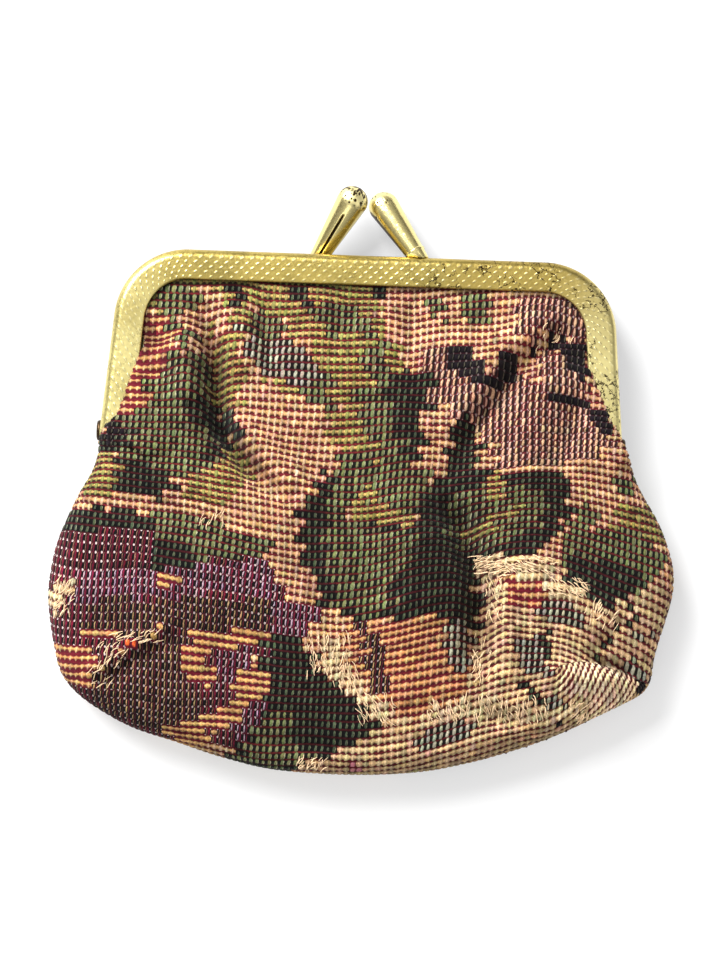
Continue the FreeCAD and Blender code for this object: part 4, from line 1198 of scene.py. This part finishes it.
class Nodes:
    """Short calls for building the node tree of a material or of the world."""

    def __init__(self, owner, shader="Principled BSDF"):
        owner.use_nodes = True
        self.owner = owner
        self.tree = owner.node_tree
        self.shader = self.tree.nodes[shader]

    def put(self, socket, value):
        if isinstance(value, bpy.types.NodeSocket):
            self.tree.links.new(value, socket)
        else:
            socket.default_value = value

    def new(self, kind, **inputs):
        node = self.tree.nodes.new("ShaderNode" + kind)
        for key, value in inputs.items():
            self.put(node.inputs[key.replace("_", " ")], value)
        return node

    def math(self, operation, *values):
        node = self.new("Math")
        node.operation = operation
        for socket, value in zip(node.inputs, values):
            self.put(socket, value)
        return node.outputs[0]

    def plus(self, a, b):
        return self.math("ADD", a, b)

    def minus(self, a, b):
        return self.math("SUBTRACT", a, b)

    def times(self, a, b):
        return self.math("MULTIPLY", a, b)

    def most(self, a, b):
        return self.math("MAXIMUM", a, b)

    def apart(self, a, b):
        return self.math("ABSOLUTE", self.minus(a, b))

    def ramp(self, value, low, high, to_low=0.0, to_high=1.0):
        node = self.new("MapRange", Value=value, From_Min=low, From_Max=high, To_Min=to_low, To_Max=to_high)
        node.interpolation_type = "SMOOTHSTEP"
        return node.outputs[0]

    def blend(self, share, a, b, mode="MIX"):
        node = self.new("Mix")
        node.data_type = "RGBA"
        node.blend_type = mode
        self.put(node.inputs[0], share)
        self.put(node.inputs[6], a)
        self.put(node.inputs[7], b)
        return node.outputs[2]

    def shade(self, colour, factor):
        return self.blend(1.0, colour, factor, "MULTIPLY")

    def attribute(self, name, output="Color"):
        node = self.new("Attribute")
        node.attribute_name = name
        return node.outputs[output]

    def place(self):
        return self.new("TexCoord").outputs["Object"]

    def noise(self, vector, scale, detail=3.0, roughness=0.55):
        node = self.new("TexNoise", Vector=vector, Scale=scale, Detail=detail, Roughness=roughness)
        return node.outputs["Fac"]

    def bump(self, height, distance, strength):
        node = self.new("Bump", Height=height, Distance=distance, Strength=strength)
        self.put(self.shader.inputs["Normal"], node.outputs[0])

    def finish(self, **inputs):
        for key, value in inputs.items():
            self.put(self.shader.inputs[key.replace("_", " ")], value)
        return self.owner


def material_nodes(name):
    return Nodes(bpy.data.materials.new(name))


def tapestry_material():
    """Draws each cell's rib, upright threads, row line and dot from the colours and sizes on its face."""
    n = material_nodes("tapestry")
    uv = n.new("UVMap")
    uv.uv_map = "weave"
    cell = uv.outputs[0]
    place = n.place()
    split = n.new("SeparateXYZ", Vector=cell)
    fu = n.math("FRACT", split.outputs[0])
    fv = n.math("FRACT", split.outputs[1])
    wander = n.times(n.minus(n.noise(cell, 1.7, 1.0), 0.5), 0.3)
    slant = n.times(n.minus(fv, 0.5), 0.16)
    across = n.minus(n.plus(fu, wander), n.plus(slant, 0.5))
    along = n.minus(fv, 0.5)
    has_second = n.ramp(n.attribute("second", "Alpha"), 0.05, 0.15)
    across = n.plus(across, n.times(has_second, 0.16))
    height = n.attribute("ground", "Alpha")

    def upright(offset, width):
        """How far a point is from an upright thread's middle: 0 there, 1 on its outline."""
        px = n.math("DIVIDE", n.apart(across, offset), n.times(width, 0.5))
        py = n.math("DIVIDE", n.math("ABSOLUTE", along), n.times(height, 0.5))
        return n.plus(n.math("POWER", px, 2.2), n.math("POWER", py, 3.0))

    thread_far = upright(0.0, n.attribute("thread", "Alpha"))
    thread = n.ramp(thread_far, 1.25, 0.75)
    second_far = upright(0.36, n.most(n.attribute("second", "Alpha"), 0.01))
    second = n.times(n.ramp(second_far, 1.25, 0.75), has_second)
    lump = n.times(n.math("COSINE", n.times(across, 6.283)), 0.07)
    rib_half = n.times(n.attribute("rib", "Alpha"), 0.5)
    rib_depth = n.minus(n.plus(rib_half, lump), n.apart(fv, 0.58))
    has_rib = n.ramp(rib_half, 0.02, 0.06)
    rib = n.times(n.ramp(rib_depth, -0.05, 0.06), has_rib)
    row_edge = n.minus(0.5, n.math("ABSOLUTE", along))
    line_half = n.plus(n.times(n.noise(cell, 2.3, 1.0), 0.14), 0.06)
    line_depth = n.minus(line_half, row_edge)
    line = n.times(n.ramp(line_depth, -0.05, 0.04), n.attribute("row_line", "Alpha"))
    extra = n.new("SeparateColor", Color=n.attribute("extra"))
    dot_x = n.minus(0.5, n.apart(fu, 0.5))
    dot_far = n.math("SQRT", n.plus(n.math("POWER", row_edge, 2.0), n.math("POWER", dot_x, 2.0)))
    dot = n.times(n.ramp(dot_far, 0.19, 0.1), extra.outputs[0])
    # The rim: a pale line on one side of each thread, partly a paler yarn and partly a painted highlight
    rim_side = n.math("DIVIDE", across, n.attribute("thread", "Alpha"))
    rim = n.times(n.times(n.ramp(rim_side, 0.18, 0.42), thread), extra.outputs[1])

    fibre = n.noise(place, 5600.0, 3.0, 0.75)
    fuzz = n.noise(place, 1900.0, 2.0, 0.6)
    twist_at = n.plus(n.times(fu, 2.0), n.times(fv, 3.0))
    twist = n.math("SINE", n.times(twist_at, 6.283))
    grain = n.times(n.ramp(fibre, 0.3, 0.7, 0.72, 1.26), n.ramp(fuzz, 0.3, 0.7, 0.8, 1.18))
    grain = n.times(grain, n.plus(1.0, n.times(twist, 0.08)))

    colour = n.attribute("ground")
    thread_colour = n.blend(rim, n.attribute("thread"), srgb(222, 214, 178))
    # Each yarn is drawn lighter along its middle and darker towards its edges: painted light and shade on its
    # round
    for mask, yarn, light in (
        (line, n.attribute("row_line"), n.ramp(line_depth, 0.0, 0.12, 0.7, 1.15)),
        (rib, n.attribute("rib"), n.ramp(rib_depth, 0.0, 0.22, 0.55, 1.08)),
        (second, n.attribute("second"), n.ramp(second_far, 1.1, 0.2, 0.6, 1.1)),
        (thread, thread_colour, n.ramp(thread_far, 1.15, 0.1, 0.5, 1.12)),
    ):
        colour = n.blend(mask, colour, n.shade(yarn, n.times(light, grain)))
    colour = n.blend(dot, colour, srgb(226, 210, 204))
    stain = n.noise(place, 90.0, 4.0)
    colour = n.shade(colour, n.ramp(stain, 0.25, 0.75, 0.88, 1.08))
    height_map = n.most(n.times(line, 0.3), n.times(rib, n.ramp(rib_depth, 0.0, 0.3, 0.3, 0.8)))
    height_map = n.most(height_map, n.times(thread, n.ramp(thread_far, 1.1, 0.0, 0.4, 1.0)))
    height_map = n.most(height_map, n.times(second, 0.7))
    n.bump(n.plus(height_map, n.times(fibre, 0.45)), 0.00016, 1.0)
    sheen = {"Sheen_Weight": 0.06, "Sheen_Roughness": 0.5}
    return n.finish(Base_Color=colour, Roughness=0.95, Specular_IOR_Level=0.12, **sheen)


def yarn_material(name, colour):
    n = material_nodes(name)
    grain = n.ramp(n.noise(n.place(), 2400.0, 3.0, 0.7), 0.3, 0.7, 0.75, 1.15)
    return n.finish(Base_Color=n.shade(srgb(*colour), grain), Roughness=0.9)


def brass_material(name, colour, arm_colour):
    """Brass plating, with the arms drawn lighter as a painted highlight. Gives the nodes, the colour, a mask
    of the cracks and pits where it is worn, a fine noise, and the wear with the painted shade that it
    carries.
    """
    n = material_nodes(name)
    place = n.place()
    wear_and_shade = n.attribute("wear_and_shade", "Fac")
    on_arm = n.attribute("arm_share", "Fac")
    tarnish = n.noise(place, 130.0, 5.0)
    fine = n.noise(place, 2600.0, 4.0, 0.7)
    # Painted highlight: the arms are drawn in the lighter arm colour
    base = n.blend(on_arm, srgb(*colour), srgb(*arm_colour))
    on_bar = n.minus(1.0, n.times(on_arm, 0.75))
    tarnished = srgb(*[c * 0.85 for c in colour])
    base = n.blend(n.times(n.ramp(tarnish, 0.4, 0.68), on_bar), base, tarnished)
    base = n.blend(n.times(n.ramp(fine, 0.4, 0.75), 0.3), base, srgb(240, 220, 140))
    # Painted highlight: the raised dashes are drawn paler, and the knobs' ends too, through the raised
    # attribute
    base = n.blend(n.times(n.attribute("raised", "Fac"), 0.5), base, srgb(255, 246, 196))
    crack = n.ramp(n.apart(n.noise(place, 640.0, 4.0, 0.6), 0.5), 0.03, 0.012)
    patches = n.ramp(n.noise(place, 210.0, 4.0, 0.6), 0.5, 0.56)
    pits = n.ramp(n.noise(place, 1500.0, 3.0, 0.6), 0.62, 0.66)
    mask = n.times(n.most(crack, n.times(pits, 0.8)), patches)
    mask = n.times(mask, n.ramp(wear_and_shade, 0.15, 0.7))
    return n, base, mask, fine, wear_and_shade


def frame_brass():
    n, base, mask, fine, wear_and_shade = brass_material("embossed_brass", (190, 168, 90), (244, 232, 164))
    base = n.blend(n.ramp(wear_and_shade, 0.5, 1.0, 0.0, 0.22), base, srgb(140, 108, 48))
    base = n.blend(mask, base, srgb(48, 36, 20))
    rough = n.plus(n.ramp(fine, 0.3, 0.8, 0.3, 0.46), n.times(mask, 0.3))
    n.bump(n.minus(n.times(fine, 0.3), mask), 0.00003, 0.6)
    return n.finish(Base_Color=base, Roughness=rough, Metallic=1.0)


def knob_brass():
    n, base, mask, fine, wear_and_shade = brass_material("polished_brass", (232, 210, 138), (240, 224, 156))
    # Dark where the knobs are pitted and worn, and where shade is painted on them
    dark = n.most(n.times(mask, 0.7), n.ramp(wear_and_shade, 0.15, 0.6))
    base = n.blend(dark, base, srgb(52, 38, 20))
    rough = n.plus(n.ramp(fine, 0.3, 0.8, 0.2, 0.3), n.times(n.attribute("raised", "Fac"), 0.35))
    n.bump(n.times(fine, -0.3), 0.00002, 0.4)
    return n.finish(Base_Color=base, Roughness=rough, Metallic=1.0)


def plain_brass(name, colour, roughness):
    n = material_nodes(name)
    fine = n.noise(n.place(), 2600.0, 4.0, 0.7)
    base = n.blend(n.ramp(fine, 0.3, 0.7), srgb(*colour), srgb(*[c * 0.84 for c in colour]))
    return n.finish(Base_Color=base, Roughness=roughness, Metallic=1.0)


def lining_material():
    n = material_nodes("lining_satin")
    place = n.place()
    threads = n.noise(place, 3000.0, 2.0)
    cloud = n.noise(place, 120.0, 3.0)
    colour = n.blend(n.ramp(cloud, 0.3, 0.7), srgb(46, 34, 28), srgb(62, 46, 36))
    n.bump(threads, 0.00004, 0.4)
    return n.finish(Base_Color=colour, Roughness=0.45, Sheen_Weight=0.3, Anisotropic=0.4)


FLOOR_GLOW = 0.46


def floor_material():
    n = material_nodes("floor")
    glow = {"Emission_Color": (1, 1, 1, 1), "Emission_Strength": FLOOR_GLOW}
    return n.finish(Base_Color=(0.5, 0.5, 0.5, 1), Roughness=0.8, Specular_IOR_Level=0.2, **glow)


# ---- Camera, light and floor ---------------------------------------------------------------------

LENS = 150.0
SENSOR = 36.0
VIEW_HEIGHT = 156.1
CAMERA_ROLL = math.radians(2.1)
CAMERA_X = 0.08


def make_camera():
    data = bpy.data.cameras.new("camera")
    data.lens = LENS
    data.sensor_width = SENSOR
    data.sensor_fit = "AUTO"
    camera = add_object("camera", data)
    distance = VIEW_HEIGHT * LENS / SENSOR
    camera.location = Vector((CAMERA_X, 0.0, FACE_Z + distance)) * MM
    camera.rotation_euler = (0, 0, CAMERA_ROLL)
    data.clip_end = 10
    bpy.context.scene.camera = camera


def make_light(name, location, size, power):
    data = bpy.data.lights.new(name, "AREA")
    data.size = size
    data.energy = power
    light = add_object(name, data)
    light.location = location
    light.rotation_euler = (-Vector(location)).to_track_quat("-Z", "Y").to_euler()


SKY_LOW = 0.18
SKY_HIGH = 0.6
SKY_TOP = 0.45
# Each lamp's place in metres, size and power: all three point at the purse
LAMPS = {
    "key": ((-0.43, 0.54, 0.5), 0.5, 16.0),
    "fill": ((0.6, -0.2, 0.5), 0.5, 0.8),
    "reflector": ((-0.3, -0.52, 0.53), 0.36, 0.6),
}
FLOOR_HALF_SIZE = 3.0


def sky_world():
    """Brightest straight above and grey at the horizon, so that flat metal shines and round edges darken."""
    n = Nodes(bpy.data.worlds.new("studio"), "Background")
    up = n.new("SeparateXYZ", Vector=n.new("TexCoord").outputs["Generated"]).outputs["Z"]
    sky = n.ramp(up, 0.1, 0.95, SKY_LOW, SKY_HIGH)
    top = n.ramp(up, 0.86, 0.985, 0.0, SKY_TOP)
    return n.finish(Color=(1, 1, 1, 1), Strength=n.plus(sky, top))


def make_studio():
    scene = bpy.context.scene
    scene.world = sky_world()
    for name, values in LAMPS.items():
        make_light(name, *values)
    corners = [(x * FLOOR_HALF_SIZE, y * FLOOR_HALF_SIZE, 0) for x, y in ((-1, -1), (1, -1), (1, 1), (-1, 1))]
    mesh = bpy.data.meshes.new("floor")
    mesh.from_pydata(corners, [], [(0, 1, 2, 3)])
    mesh.materials.append(floor_material())
    add_object("floor", mesh)
    scene.view_settings.view_transform = "Standard"
    scene.view_settings.look = "None"
    scene.cycles.caustics_reflective = False


# ---- Building it ---------------------------------------------------------------------------------

NODE_MATERIALS = {
    "rivet": ("rivet_brass", (74, 58, 40), 0.4),
    "stud": ("stud_brass", (200, 170, 96), 0.3),
}


def give(piece, material):
    piece.data.materials.clear()
    piece.data.materials.append(material)


def hinge_blend(piece):
    """Bakes a piece's transform into its mesh."""
    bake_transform(piece)


def build_metal():
    embossed = frame_brass()
    polished = knob_brass()
    for side, half, body in ((1, "front", FRONT), (-1, "back", ROOT)):
        for piece, material, node, slot in (
            (frame_half(half + "_frame_strip", side), embossed, "_frame", "brass_frame"),
            (knob_mesh(half + "_knob_cone", side), polished, "_knob", "brass_knobs"),
        ):
            give(piece, material)
            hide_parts(half + node)
            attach(piece, body)


def add_sheet(piece, area, material, slot, half, nodes):
    """One of the four cloths, with its flat area in square millimetres, which is not used, and the CAD nodes
    that it replaces.
    """
    give(piece, material)
    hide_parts(*nodes)
    if half == "front":
        hinge_blend(piece)
    else:
        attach(piece, ROOT)


def build_cloth():
    tapestry = tapestry_material()
    panel = make_panel("front_tapestry", front_surface, FRONT_DESIGN, FRONT_FOLDS, 1)
    add_sheet(*panel, tapestry, "tapestry", "front", ["front_panel", "front_panel_mouth", "front_panel_fold"])
    panel = make_panel("back_tapestry", back_surface, BACK_DESIGN, [], -1)
    add_sheet(*panel, tapestry, "tapestry", "back", ["back_panel"])

    satin = lining_material()
    lining = make_lining("front_satin", front_surface, 1)
    add_sheet(*lining, satin, "lining", "front", ["front_lining", "front_lining_mouth"])
    lining = make_lining("back_satin", back_surface, -1)
    add_sheet(*lining, satin, "lining", "back", ["back_lining"])

    strands = loose_threads()
    give(strands, yarn_material("frayed_yarn", (246, 214, 172)))
    hinge_blend(strands)


def dress_nodes():
    """Materials of the CAD pieces that keep their own shape."""
    metals = {word: plain_brass(*values) for word, values in NODE_MATERIALS.items()}
    paper = yarn_material("paper_cord", (196, 180, 148))
    thread = yarn_material("seam_thread", (70, 34, 32))
    dress = {**metals, "stitch": thread}
    for name, node in frame["nodes"].items():
        if node.data.materials:
            give(node, next((material for word, material in dress.items() if word in name), paper))


build_metal()
build_cloth()
dress_nodes()
make_camera()
make_studio()
